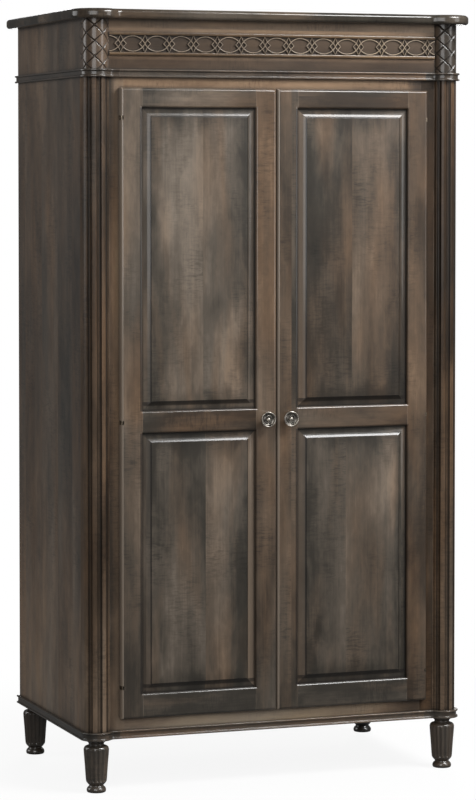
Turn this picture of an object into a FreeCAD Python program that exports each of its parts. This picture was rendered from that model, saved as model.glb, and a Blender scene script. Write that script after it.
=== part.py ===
# Two-door wardrobe with fluted corner columns, a frieze with an applied fret band, raised-panel
# doors on pivot hinges and four turned feet. The front faces -Y, +X is to the viewer's right, and
# the origin is on the floor at the middle of the outline.
import FreeCAD
import Part
import Sketcher
import math
import os
import re

doc = FreeCAD.newDocument("wardrobe")
sheet = doc.addObject("Spreadsheet::Sheet", "Sizes")

# Driving dimensions in millimetres, grouped by what they shape.
SIZES = {
    # body, and the stack of heights from the floor up
    "body_width": 1032,
    "body_depth": 604,
    "foot_height": 136,
    "base_height": 21,
    "lower_reveal": 31,
    "door_height": 1613,
    "upper_reveal": 27,
    "waist_height": 20,
    "frieze_height": 127,
    "top_thickness": 25,
    # top board
    "top_overhang": 32,
    "top_turn": 25,
    "top_upper_round": 10,
    "top_lower_round": 8,
    # corner columns and frieze blocks
    "column_radius": 33,
    "column_proud": 21,
    "column_shoulder": 24,
    "flute_radius": 7,
    "flute_depth": 5,
    "flute_angle": 45,
    # waist and base mouldings: two beads with a cove between them
    "moulding_proud": 9,
    "moulding_turn": 12,
    "cove_recess": 4,
    "cove_round": 2.2,
    "bead_height": 4.5,
    "bead_round": 1.6,
    # boards and face frame
    "board_thickness": 19,
    "back_thickness": 6,
    "back_rebate": 10,
    "frame_thickness": 20,
    "face_stile_width": 38,
    # fret band on the frieze
    "fret_bottom": 36,
    "fret_height": 59,
    "fret_thickness": 6,
    "fillet_width": 8,
    "fret_margin": 21,
    "fret_bays": 13,
    "strand_width": 4,
    "strand_thickness": 4,
    "lozenge_width": 30,
    # doors
    "door_overlay": 12,
    "door_thickness": 20,
    "door_clearance": 1,
    "door_gap": 3,
    "door_edge_round": 7,
    "door_stile_width": 57,
    "door_top_rail": 50,
    "door_middle_rail": 57,
    "door_bottom_rail": 63,
    "middle_rail_height": 948,
    "sticking_round": 6,
    "groove_setback": 9,
    "groove_width": 6,
    "groove_depth": 11,
    "tenon_length": 22,
    "tenon_shoulder": 12,
    "panel_play": 1,
    "panel_fit": 0.1,
    "panel_bevel": 25,
    "bevel_rise": 4,
    "field_step": 3,
    "field_round": 1.2,
    # pivot hinges
    "hinge_from_top": 76,
    "hinge_from_bottom": 80,
    "axis_inset": 3,
    "axis_depth": 5,
    "knuckle_radius": 3,
    "knuckle_height": 5,
    "ear_height": 2.5,
    "hinge_play": 0.15,
    "knuckle_clearance": 0.4,
    "arm_width": 2.5,
    "web_thickness": 2,
    "leaf_thickness": 2,
    "leaf_height": 40,
    "frame_leaf_width": 11,
    "door_leaf_width": 20,
    "pin_radius": 1.5,
    "pin_fit": 0.02,
    "pin_play": 0.06,
    # hinge screws
    "screw_spacing": 26,
    "screw_radius": 1.7,
    "screw_head_radius": 3.2,
    "frame_screw_length": 14,
    "door_screw_length": 12,
    # knobs and their screws
    "knob_inset": 30,
    "knob_radius": 20,
    "knob_length": 27,
    "knob_rim_height": 18,
    "knob_rose_radius": 13,
    "knob_rose_height": 3,
    "knob_stem_radius": 7.5,
    "knob_stem_length": 11,
    "knob_ring_radius": 15,
    "knob_ring_depth": 2,
    "knob_boss_radius": 10,
    "knob_round": 1.5,
    "knob_screw_radius": 2,
    "knob_screw_grip": 12,
    "knob_screw_tip_gap": 0.5,
    "knob_screw_head_radius": 4.5,
    "knob_screw_head_height": 2.5,
    "screw_clearance": 0.1,
    # magnetic catches
    "catch_inset": 12,
    "catch_width": 40,
    "catch_height": 14,
    "catch_depth": 17,
    "catch_gap": 0.3,
    "catch_margin": 4,
    "catch_plate_thickness": 1.5,
    # feet
    "rear_foot_inset": 36,
    "foot_ball_radius": 25,
    "foot_ball_height": 14,
    "foot_neck_radius": 17,
    "foot_neck_height": 6,
    "foot_taper_radius": 26.5,
    "foot_shoulder_radius": 33,
    "foot_shoulder_drop": 17,
    "foot_throat_radius": 20,
    "foot_throat_height": 7,
    "foot_collar_radius": 25,
    "foot_collar_height": 4,
    "foot_ball_round": 6,
    "foot_taper_round": 6,
    "foot_shoulder_round": 8,
    "foot_flutes": 16,
    "foot_flute_radius": 4.5,
    "foot_flute_depth": 2.4,
    "foot_flute_margin": 8,
    "foot_bolt_radius": 5,
    "foot_bolt_up": 40,
    "foot_bolt_down": 45,
    "foot_block_size": 70,
    # inside fittings
    "shelf_height": 1540,
    "cleat_height": 30,
    "cleat_inset": 25,
    "hanging_rail_radius": 14,
    "hanging_rail_drop": 70,
    "socket_radius": 22,
    "socket_thickness": 14,
    "socket_back": 3,
    "socket_clearance": 0.1,
}

for row, (alias, amount) in enumerate(SIZES.items(), start=1):
    sheet.set(f"A{row}", alias)
    sheet.set(f"B{row}", str(amount))
    sheet.setAlias(f"B{row}", alias)
doc.recompute()

ALIAS = re.compile(r"\b(" + "|".join(SIZES) + r")\b")
SIDES = {"left": -1, "right": 1}
TOLERANCE = 1e-3

# Places worked out from the driving dimensions.
HALF = "(body_width / 2)"
FACE = "((column_proud + top_overhang - body_depth) / 2)"
BACK = f"({FACE} + body_depth)"
FRAME_BACK = f"({FACE} + frame_thickness)"
INNER_BACK = f"({BACK} - back_thickness)"
INNER_SIDE = f"({HALF} - board_thickness)"
COLUMN_X = f"({HALF} - column_radius)"
COLUMN_Y = f"({FACE} + column_radius - column_proud)"
POST_INNER = f"({HALF} - 2 * column_radius)"
POST_BACK = f"({COLUMN_Y} + column_shoulder)"
OPENING = f"({POST_INNER} - face_stile_width)"
BASE_TOP = "(foot_height + base_height)"
DOOR_BOTTOM = f"({BASE_TOP} + lower_reveal)"
DOOR_TOP = f"({DOOR_BOTTOM} + door_height)"
WAIST_BOTTOM = f"({DOOR_TOP} + upper_reveal)"
WAIST_TOP = f"({WAIST_BOTTOM} + waist_height)"
FRIEZE_TOP = f"({WAIST_TOP} + frieze_height)"
OPEN_BOTTOM = f"({DOOR_BOTTOM} + door_overlay)"
OPEN_TOP = f"({DOOR_TOP} - door_overlay)"
DOOR_EDGE = f"({OPENING} + door_overlay)"
DOOR_BACK = f"({FACE} - door_clearance)"
DOOR_FRONT = f"({DOOR_BACK} - door_thickness)"
REAR_FOOT_Y = f"({BACK} - rear_foot_inset)"

nodes = {}


def formula(expression):
    """The expression with each size's alias pointing at the sheet."""
    return ALIAS.sub(r"Sizes.\1", expression)


def number(expression):
    return float(sheet.evalExpression(formula(expression)))


def bind(piece, **expressions):
    for name, expression in expressions.items():
        piece.setExpression(name, formula(expression))


def place(piece, x, y, z):
    for axis, expression in zip("xyz", (x, y, z)):
        piece.setExpression(f"Placement.Base.{axis}", formula(expression))


def node(piece, label):
    """Makes the piece one of the object's named sub-parts."""
    piece.Label = label
    nodes[label] = piece
    return piece


def mirrored(sign, inner, outer):
    """The span from inner to outer, on the left for sign -1 and on the right for sign 1."""
    if sign < 0:
        return f"-({outer})", f"-({inner})"
    return inner, outer


def block(name, x_span, y_span, z_span):
    piece = doc.addObject("Part::Box", name)
    sizes = [f"({high}) - ({low})" for low, high in (x_span, y_span, z_span)]
    bind(piece, Length=sizes[0], Width=sizes[1], Height=sizes[2])
    place(piece, x_span[0], y_span[0], z_span[0])
    return piece


TURN = {
    "z": FreeCAD.Rotation(),
    "x": FreeCAD.Rotation(FreeCAD.Vector(0, 1, 0), 90),
    "y": FreeCAD.Rotation(FreeCAD.Vector(1, 0, 0), -90),
    "-y": FreeCAD.Rotation(FreeCAD.Vector(1, 0, 0), 90),
}


def rod(name, axis, start, radius, length):
    piece = doc.addObject("Part::Cylinder", name)
    piece.Placement = FreeCAD.Placement(FreeCAD.Vector(), TURN[axis])
    bind(piece, Radius=radius, Height=length)
    place(piece, *start)
    return piece


def cone(name, axis, start, radius, end_radius, length):
    piece = doc.addObject("Part::Cone", name)
    piece.Placement = FreeCAD.Placement(FreeCAD.Vector(), TURN[axis])
    bind(piece, Radius1=radius, Radius2=end_radius, Height=length)
    place(piece, *start)
    return piece


def fuse(name, *pieces):
    piece = doc.addObject("Part::MultiFuse", name)
    piece.Shapes = list(pieces)
    piece.Refine = True
    return piece


def group(name, pieces):
    piece = doc.addObject("Part::Compound", name)
    piece.Links = list(pieces)
    return piece


def cut(name, base, *tools):
    piece = doc.addObject("Part::Cut", name)
    piece.Base = base
    piece.Tool = tools[0] if len(tools) == 1 else group(f"{name}_tools", tools)
    return piece


def common(name, base, tool):
    piece = doc.addObject("Part::Common", name)
    piece.Base = base
    piece.Tool = tool
    return piece


def round_edges(name, base, *choices):
    """Rounds the edges of base that each (test, radius) choice picks by its middle point."""
    doc.recompute()
    picked = []
    for index, edge in enumerate(base.Shape.Edges, start=1):
        middle = edge.valueAt((edge.FirstParameter + edge.LastParameter) / 2)
        for test, radius in choices:
            if test(edge, middle):
                amount = number(radius)
                picked.append((index, amount, amount))
                break
    piece = doc.addObject("Part::Fillet", name)
    piece.Base = base
    piece.Edges = picked
    return piece


def near(first, second):
    return abs(first - second) < TOLERANCE


def is_upright(edge):
    low, high = edge.Vertexes[0].Point, edge.Vertexes[-1].Point
    return near(low.x, high.x) and near(low.y, high.y) and not near(low.z, high.z)


def body_plan(name, proud, bottom, top, turn=None):
    """A slab of the body's plan, columns included, pushed out by proud on the front and sides."""
    columns = [
        rod(f"{name}_{side}_round", "z", (f"{sign} * {COLUMN_X}", COLUMN_Y, bottom),
            f"column_radius + {proud}", f"{top} - {bottom}")
        for side, sign in SIDES.items()
    ]
    core = block(f"{name}_core", mirrored_pair(f"{HALF} + {proud}"), (COLUMN_Y, BACK), (bottom, top))
    front = block(f"{name}_front", mirrored_pair(COLUMN_X), (f"{FACE} - {proud}", COLUMN_Y), (bottom, top))
    plan = fuse(f"{name}_plan", core, front, *columns)
    if turn is None:
        return plan
    front_y = number(f"{FACE} - {proud}")
    return round_edges(f"{name}_turned", plan,
                       (lambda edge, middle: is_upright(edge) and near(middle.y, front_y), turn))


def mirrored_pair(reach):
    """The span from -reach to reach."""
    return f"-({reach})", reach


def new_sketch(body, role, name):
    plane = next(item for item in body.Origin.OriginFeatures if item.Role == role)
    sketch = body.newObject("Sketcher::SketchObject", name)
    sketch.AttachmentSupport = [(plane, "")]
    sketch.MapMode = "FlatFace"
    return sketch


def profile_sketch(body, role, name, *loops):
    """A sketch of closed loops of straight lines, each corner bound to a pair of expressions."""
    sketch = new_sketch(body, role, name)
    for points in loops:
        first = sketch.GeometryCount
        corners = [FreeCAD.Vector(number(across), number(up), 0) for across, up in points]
        for start, end in zip(corners, corners[1:] + corners[:1]):
            sketch.addGeometry(Part.LineSegment(start, end), False)
        for index in range(len(corners)):
            following = (index + 1) % len(corners)
            sketch.addConstraint(Sketcher.Constraint("Coincident", first + index, 2, first + following, 1))
        for index, (corner, (across, up)) in enumerate(zip(corners, points)):
            pin_corner(sketch, first + index, "DistanceX", corner.x, across, -2)
            pin_corner(sketch, first + index, "DistanceY", corner.y, up, -1)
    return sketch


def pin_corner(sketch, index, kind, amount, expression, axis):
    """Holds a line's start point on an axis, or at its distance from the origin."""
    if near(amount, 0):
        sketch.addConstraint(Sketcher.Constraint("PointOnObject", index, 1, axis))
        return
    row = sketch.addConstraint(Sketcher.Constraint(kind, -1, 1, index, 1, amount))
    sketch.setExpression(f"Constraints[{row}]", formula(expression))


def origin_axis(body, role):
    return next(item for item in body.Origin.OriginFeatures if item.Role == role)


def turned(body, name, points):
    """A revolved profile of (radius, height) corners about the body's Z axis."""
    sketch = profile_sketch(body, "XZ_Plane", f"{name}_profile", points)
    turning = body.newObject("PartDesign::Revolution", f"{name}_turning")
    turning.Profile = sketch
    turning.ReferenceAxis = (sketch, ["V_Axis"])
    turning.Angle = 360
    doc.recompute()
    return turning


def round_rims(body, base, name, rims):
    """Rounds the circular edges of a turned piece, each rim a (radius, height, round)."""
    for count, (radius, height, amount) in enumerate(rims, start=1):
        names = [
            f"Edge{index}" for index, edge in enumerate(base.Shape.Edges, start=1)
            if isinstance(edge.Curve, Part.Circle)
            and near(edge.Curve.Radius, number(radius))
            and near(edge.Curve.Center.z, number(height))
        ]
        rounding = body.newObject("PartDesign::Fillet", f"{name}_rim_{count}")
        rounding.Base = (base, names)
        bind(rounding, Radius=amount)
        doc.recompute()
        base = rounding
    return base


# Top board: one thick board with a rounded edge that swells round both columns.
def top_board():
    top = f"{FRIEZE_TOP} + top_thickness"
    slab = body_plan("top", "top_overhang", FRIEZE_TOP, top, "top_turn")
    upper, lower, back = number(top), number(FRIEZE_TOP), number(BACK)
    return round_edges(
        "top_board_rounded", slab,
        (lambda edge, middle: near(middle.z, upper) and not near(middle.y, back), "top_upper_round"),
        (lambda edge, middle: near(middle.z, lower) and not near(middle.y, back), "top_lower_round"))


node(top_board(), "top_board")


# Columns, frieze blocks and side panels, one of each per side.
def post(name, sign, bottom, top):
    """A round post with a square shoulder behind it, flush with the side and cut off flat at the back."""
    start = (f"{sign} * {COLUMN_X}", COLUMN_Y, bottom)
    width = mirrored(sign, POST_INNER, HALF)
    shaft = rod(f"{name}_shaft", "z", start, "column_radius", f"{top} - {bottom}")
    shoulder = block(f"{name}_shoulder", width, (COLUMN_Y, POST_BACK), (bottom, top))
    waste = block(f"{name}_waste", width, (POST_BACK, f"{POST_BACK} + column_radius"), (bottom, top))
    return cut(f"{name}_post", fuse(f"{name}_stock", shaft, shoulder), waste)


def flute(name, sign, step):
    reach = "(column_radius + flute_radius - flute_depth)"
    angle = f"({step} * flute_angle * 1 deg)"
    x = f"{sign} * {COLUMN_X} + {reach} * sin({angle})"
    y = f"{COLUMN_Y} - {reach} * cos({angle})"
    length = f"{WAIST_BOTTOM} - {BASE_TOP}"
    return rod(f"{name}_flute_{step + 1}", "z", (x, y, BASE_TOP), "flute_radius", length)


def bolt_hole(name, x, y, length):
    return rod(name, "z", (x, y, "foot_height"), "foot_bolt_radius + screw_clearance", length)


def side_panel(side, sign):
    heights = ("foot_height", FRIEZE_TOP)
    board = block(f"{side}_side_board", mirrored(sign, INNER_SIDE, HALF), (POST_BACK, BACK), heights)
    rebate = block(f"{side}_side_rebate", mirrored(sign, INNER_SIDE, f"{INNER_SIDE} + back_rebate"),
                   (INNER_BACK, BACK), heights)
    return cut(f"{side}_side", board, rebate)


for side, sign in SIDES.items():
    flutes = [flute(f"{side}_column", sign, step) for step in (-1, 0, 1)]
    hole = bolt_hole(f"{side}_column_bolt_hole", f"{sign} * {COLUMN_X}", COLUMN_Y, "foot_bolt_up")
    shaft = post(f"{side}_column", sign, "foot_height", WAIST_TOP)
    node(cut(f"{side}_column_cut", shaft, hole, *flutes), f"{side}_column")
    node(post(f"{side}_frieze_block", sign, WAIST_TOP, FRIEZE_TOP), f"{side}_frieze_block")
    node(side_panel(side, sign), f"{side}_side_panel")


# Inner boards: back, floor and ceiling, notched round the posts.
def notched_board(name, bottom, top):
    board = block(f"{name}_sheet", mirrored_pair(INNER_SIDE), (FRAME_BACK, INNER_BACK), (bottom, top))
    notches = [
        block(f"{name}_{side}_notch", mirrored(sign, POST_INNER, INNER_SIDE), (FRAME_BACK, POST_BACK),
              (bottom, top))
        for side, sign in SIDES.items()
    ]
    return cut(f"{name}_notched", board, *notches)


node(block("back_sheet", mirrored_pair(f"{INNER_SIDE} + back_rebate"), (INNER_BACK, BACK),
           ("foot_height", FRIEZE_TOP)), "back_panel")
node(notched_board("floor", f"{OPEN_BOTTOM} - board_thickness", OPEN_BOTTOM), "floor_board")
node(notched_board("ceiling", f"{WAIST_TOP} - board_thickness", WAIST_TOP), "ceiling_board")


# Waist and base mouldings: beads and cove run round the columns, cut into a front and two returns.
def moulding(name, bottom, top):
    recess = "(moulding_proud - cove_recess)"
    bead_top = f"({bottom} + bead_height)"
    bead_bottom = f"({top} - bead_height)"
    lower = body_plan(f"{name}_lower", "moulding_proud", bottom, bead_top, "moulding_turn")
    middle = body_plan(f"{name}_middle", recess, bead_top, bead_bottom, "moulding_turn + cove_recess")
    upper = body_plan(f"{name}_upper", "moulding_proud", bead_bottom, top, "moulding_turn")
    stack = fuse(f"{name}_stack", lower, middle, upper)
    hollow = cut(f"{name}_hollow", stack, body_plan(f"{name}_inside", "0", bottom, top))
    heights = [number(height) for height in (bottom, bead_top, bead_bottom, top)]
    bead_y, cove_y = number(f"{FACE} - moulding_proud"), number(f"{FACE} - {recess}")

    def front_edge(middle, y):
        return near(middle.x, 0) and near(middle.y, y) and any(near(middle.z, height) for height in heights)

    return round_edges(
        f"{name}_run", hollow,
        (lambda edge, middle: front_edge(middle, bead_y), "bead_round"),
        (lambda edge, middle: front_edge(middle, cove_y), "cove_round"))


for name, bottom, top in (("waist", WAIST_BOTTOM, WAIST_TOP), ("base", "foot_height", BASE_TOP)):
    run = moulding(name, bottom, top)
    reach = f"{HALF} + moulding_proud"
    depth = (f"{FACE} - column_proud - moulding_proud", BACK)
    middle = block(f"{name}_front_zone", mirrored_pair(DOOR_EDGE), depth, (bottom, top))
    node(common(f"{name}_front_piece", run, middle), f"{name}_moulding_front")
    for side, sign in SIDES.items():
        zone = block(f"{name}_{side}_zone", mirrored(sign, DOOR_EDGE, reach), depth, (bottom, top))
        node(common(f"{name}_{side}_piece", run, zone), f"{name}_moulding_{side}")


# Hinge layout: three pivot hinges per door, their axis just inside the door's outer front corner.
HINGE_HEIGHTS = {
    "upper": f"({DOOR_TOP} - hinge_from_top)",
    "middle": "middle_rail_height",
    "lower": f"({DOOR_BOTTOM} + hinge_from_bottom)",
}
AXIS_X = f"({DOOR_EDGE} - axis_inset)"
AXIS_Y = f"({DOOR_FRONT} + axis_depth)"
WEB_OUTER = f"({AXIS_X} - knuckle_radius - knuckle_clearance)"
EAR_START = "(knuckle_height / 2 + hinge_play)"
EAR_END = f"({EAR_START} + ear_height)"


def around(height, reach):
    """The span of heights that reaches the same way above and below a height."""
    return f"{height} - {reach}", f"{height} + {reach}"


def leaf_screw(name, axis, x, y, z, length):
    """A countersunk screw whose head is flush with a leaf's face."""
    head = cone(f"{name}_head", axis, (x, y, z), "screw_head_radius", "screw_radius", "leaf_thickness")
    shank = rod(f"{name}_shank", axis, (x, y, z), "screw_radius", length)
    return fuse(name, head, shank)


def frame_plate(name, sign, height):
    return block(name, mirrored(sign, OPENING, f"{OPENING} + frame_leaf_width"),
                 (FACE, f"{FACE} + leaf_thickness"), around(height, "leaf_height / 2"))


def door_plate(name, sign, height):
    return block(name, mirrored(sign, f"{WEB_OUTER} - door_leaf_width", WEB_OUTER),
                 (f"{DOOR_BACK} - leaf_thickness", DOOR_BACK), around(height, "leaf_height / 2"))


def web(name, sign, height):
    return block(name, mirrored(sign, f"{WEB_OUTER} - web_thickness", WEB_OUTER),
                 (f"{AXIS_Y} - knuckle_radius", DOOR_BACK), around(height, EAR_END))


def pin_bore(name, sign, height, play):
    start = (f"{sign} * {AXIS_X}", AXIS_Y, f"{height} - {EAR_END}")
    return rod(name, "z", start, f"pin_radius + {play}", f"2 * {EAR_END}")


def frame_leaf(name, sign, height, screws):
    half_arm = "arm_width / 2"
    plate = frame_plate(f"{name}_plate", sign, height)
    arm = block(f"{name}_arm", mirrored(sign, f"{AXIS_X} - {half_arm}", f"{AXIS_X} + {half_arm}"),
                (AXIS_Y, f"{FACE} + leaf_thickness"), around(height, "knuckle_height / 2"))
    knuckle = rod(f"{name}_knuckle", "z", (f"{sign} * {AXIS_X}", AXIS_Y, f"{height} - knuckle_height / 2"),
                  "knuckle_radius", "knuckle_height")
    whole = fuse(f"{name}_blank", plate, arm, knuckle)
    return cut(name, whole, pin_bore(f"{name}_bore", sign, height, "pin_fit"), *screws)


def door_leaf(name, sign, height, screws):
    pieces = [door_plate(f"{name}_plate", sign, height), web(f"{name}_web", sign, height)]
    for place_name, low in (("upper", EAR_START), ("lower", f"-{EAR_END}")):
        bottom = f"({height} + {low})"
        span = (bottom, f"{bottom} + ear_height")
        reach = mirrored(sign, f"{WEB_OUTER} - web_thickness", AXIS_X)
        depth = (f"{AXIS_Y} - knuckle_radius", f"{AXIS_Y} + knuckle_radius")
        pieces.append(block(f"{name}_{place_name}_ear", reach, depth, span))
        pieces.append(rod(f"{name}_{place_name}_eye", "z", (f"{sign} * {AXIS_X}", AXIS_Y, bottom),
                          "knuckle_radius", "ear_height"))
    whole = fuse(f"{name}_blank", *pieces)
    return cut(name, whole, pin_bore(f"{name}_bore", sign, height, "pin_play"), *screws)


def hinge_notch(name, sign, height):
    """What the hinge takes out of the door: the knuckle's gap, the web's slot and the leaf's mortise."""
    gap = block(f"{name}_gap", mirrored(sign, WEB_OUTER, f"{DOOR_EDGE} + axis_inset"),
                (f"{DOOR_FRONT} - axis_depth", f"{DOOR_BACK} + axis_depth"), around(height, EAR_END))
    return [gap, web(f"{name}_slot", sign, height), door_plate(f"{name}_mortise", sign, height)]


frame_leaves, frame_screws, hinge_pins = [], [], []
stile_cuts = {side: [] for side in SIDES}
door_hinges = {side: {"leaves": [], "screws": [], "notches": []} for side in SIDES}

for side, sign in SIDES.items():
    for level, height in HINGE_HEIGHTS.items():
        name = f"{side}_{level}_hinge"
        steps = {"top": f"{height} + screw_spacing / 2", "bottom": f"{height} - screw_spacing / 2"}
        frame_x = f"{sign} * ({OPENING} + frame_leaf_width / 2)"
        door_x = f"{sign} * ({WEB_OUTER} - door_leaf_width / 2)"
        in_frame = [
            leaf_screw(f"{name}_frame_screw_{end}", "y", frame_x, FACE, z, "frame_screw_length")
            for end, z in steps.items()
        ]
        in_door = [
            leaf_screw(f"{name}_door_screw_{end}", "-y", door_x, DOOR_BACK, z, "door_screw_length")
            for end, z in steps.items()
        ]
        frame_leaves.append(frame_leaf(f"{name}_frame_leaf", sign, height, in_frame))
        frame_screws += in_frame
        hinge_pins.append(pin_bore(f"{name}_pin", sign, height, "0"))
        stile_cuts[side] += [frame_plate(f"{name}_frame_mortise", sign, height), *in_frame]
        door_hinges[side]["leaves"].append(door_leaf(f"{name}_door_leaf", sign, height, in_door))
        door_hinges[side]["screws"] += in_door
        door_hinges[side]["notches"] += [*hinge_notch(f"{name}_notch", sign, height), *in_door]

node(group("frame_leaf_set", frame_leaves), "hinge_frame_leaves")
node(group("frame_screw_set", frame_screws), "hinge_frame_screws")
node(group("hinge_pin_set", hinge_pins), "hinge_pins")

# Face frame: two stiles beside the columns, with a rail above and below the doors.
frame_span = (FACE, FRAME_BACK)
for side, sign in SIDES.items():
    stile = block(f"{side}_stile_board", mirrored(sign, OPENING, POST_INNER), frame_span,
                  ("foot_height", WAIST_TOP))
    node(cut(f"{side}_stile_cut", stile, *stile_cuts[side]), f"{side}_face_stile")
node(block("top_rail_board", mirrored_pair(OPENING), frame_span, (OPEN_TOP, WAIST_TOP)), "top_face_rail")
node(block("bottom_rail_board", mirrored_pair(OPENING), frame_span, ("foot_height", OPEN_BOTTOM)),
     "bottom_face_rail")

# Frieze: a plain board between the round blocks, with the fret band on its face.
node(block("frieze_sheet", mirrored_pair(POST_INNER), frame_span, (WAIST_TOP, FRIEZE_TOP)), "frieze_board")


FRET_HALF = "(fret_height / 2)"
FRET_PITCH = f"(2 * ({POST_INNER} - fret_margin) / fret_bays)"
FRET_ROOM = f"({FRET_HALF} - fillet_width)"
FRET_SWING = f"({FRET_ROOM} - strand_width / 2)"
FRET_BEND = f"((({FRET_PITCH} / 2) ^ 2 + {FRET_SWING} ^ 2) / (2 * {FRET_SWING}))"
FRET_DROP = f"({FRET_BEND} - {FRET_SWING})"


def pad(body, name, sketch, length):
    feature = body.newObject("PartDesign::Pad", name)
    feature.Profile = sketch
    bind(feature, Length=length)
    doc.recompute()
    return feature


def row_of(body, name, feature, length, count):
    """Repeats a feature along the body's X axis."""
    pattern = body.newObject("PartDesign::LinearPattern", name)
    pattern.Originals = [feature]
    pattern.Direction = (origin_axis(body, "X_Axis"), [""])
    bind(pattern, Length=length, Occurrences=count)
    body.Tip = pattern
    doc.recompute()
    return pattern


def add_lens(sketch, radius):
    """Two equal arcs about centres FRET_DROP below and above the origin, meeting on the X axis."""
    first = sketch.GeometryCount
    bend, drop = number(radius), number(FRET_DROP)
    reach = (bend ** 2 - drop ** 2) ** 0.5
    tilt = math.atan2(drop, reach)
    spans = ((-drop, tilt, math.pi - tilt), (drop, math.pi + tilt, 2 * math.pi - tilt))
    for height, start, end in spans:
        circle = Part.Circle(FreeCAD.Vector(0, height, 0), FreeCAD.Vector(0, 0, 1), bend)
        sketch.addGeometry(Part.ArcOfCircle(circle, start, end), False)
    for start, end in ((first, first + 1), (first + 1, first)):
        sketch.addConstraint(Sketcher.Constraint("Coincident", start, 2, end, 1))
    sketch.addConstraint(Sketcher.Constraint("Equal", first, first + 1))
    for position in (1, 2):
        sketch.addConstraint(Sketcher.Constraint("PointOnObject", first, position, -1))
    sketch.addConstraint(Sketcher.Constraint("PointOnObject", first, 3, -2))
    measures = (
        (Sketcher.Constraint("Radius", first, bend), radius),
        (Sketcher.Constraint("DistanceX", -1, 1, first, 1, reach), f"sqrt(({radius}) ^ 2 - {FRET_DROP} ^ 2)"),
    )
    for constraint, expression in measures:
        row = sketch.addConstraint(constraint)
        sketch.setExpression(f"Constraints[{row}]", formula(expression))


def rhombus(half_width, half_height):
    return [(half_width, "0"), ("0", half_height), (f"-({half_width})", "0"), ("0", f"-({half_height})")]


def rectangle(half_width, half_height):
    return [
        (half_width, half_height), (f"-({half_width})", half_height),
        (f"-({half_width})", f"-({half_height})"), (half_width, f"-({half_height})"),
    ]


def fret_strip():
    """Two flat fillets with interlaced ovals and a lozenge on each crossing between them."""
    body = doc.addObject("PartDesign::Body", "fret_strip_body")
    frame = profile_sketch(body, "XZ_Plane", "fret_frame", rectangle(POST_INNER, FRET_HALF),
                           rectangle(f"{POST_INNER} - strand_width", FRET_ROOM))
    pad(body, "fret_frame_pad", frame, "fret_thickness")

    ovals = new_sketch(body, "XZ_Plane", "fret_oval")
    bind(ovals, **{"AttachmentOffset.Base.x": f"-(fret_bays - 1) * {FRET_PITCH} / 2"})
    add_lens(ovals, f"{FRET_BEND} + strand_width / 2")
    add_lens(ovals, f"{FRET_BEND} - strand_width / 2")
    oval = pad(body, "fret_oval_pad", ovals, "strand_thickness")
    row_of(body, "fret_ovals", oval, f"(fret_bays - 1) * {FRET_PITCH}", "fret_bays")

    half_width = "(lozenge_width / 2)"
    slant = f"sqrt({half_width} ^ 2 + {FRET_ROOM} ^ 2)"
    lozenges = profile_sketch(
        body, "XZ_Plane", "fret_lozenge", rhombus(half_width, f"{FRET_ROOM} + strand_width / 4"),
        rhombus(f"{half_width} - strand_width * {slant} / {FRET_ROOM}",
                f"{FRET_ROOM} - strand_width * {slant} / {half_width}"))
    bind(lozenges, **{"AttachmentOffset.Base.x": f"-fret_bays * {FRET_PITCH} / 2"})
    lozenge = pad(body, "fret_lozenge_pad", lozenges, "strand_thickness")
    row_of(body, "fret_lozenges", lozenge, f"fret_bays * {FRET_PITCH}", "fret_bays + 1")
    place(body, "0", FACE, f"{WAIST_TOP} + fret_bottom + {FRET_HALF}")
    return body


node(fret_strip(), "fret_strip")

# Doors: a mitred and tenoned frame with a rounded outer edge, holding two raised panels.
RAIL_LOW = "(middle_rail_height - door_middle_rail / 2)"
RAIL_HIGH = "(middle_rail_height + door_middle_rail / 2)"
PANEL_INNER = "(door_gap / 2 + door_stile_width)"
PANEL_OUTER = f"({DOOR_EDGE} - door_stile_width)"
GROOVE_FRONT = f"({DOOR_FRONT} + groove_setback)"
GROOVE_BACK = f"({GROOVE_FRONT} + groove_width)"
BEVEL_FRONT = f"({GROOVE_FRONT} - bevel_rise)"
FIELD_FRONT = f"({BEVEL_FRONT} - field_step)"
OPENINGS = {
    "upper": (RAIL_HIGH, f"({DOOR_TOP} - door_top_rail)"),
    "lower": (f"({DOOR_BOTTOM} + door_bottom_rail)", RAIL_LOW),
}
RAILS = {
    "top": (OPENINGS["upper"][1], DOOR_TOP, "groove_depth", "tenon_shoulder"),
    "middle": (RAIL_LOW, RAIL_HIGH, "groove_depth", "groove_depth"),
    "bottom": (DOOR_BOTTOM, OPENINGS["lower"][0], "tenon_shoulder", "groove_depth"),
}
KNOB_X = "(door_gap / 2 + knob_inset)"
KNOB_HOLE = "knob_screw_radius + screw_clearance"


def widened(span, by):
    low, high = span
    return f"{low} - ({by})", f"{high} + {by}"


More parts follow.
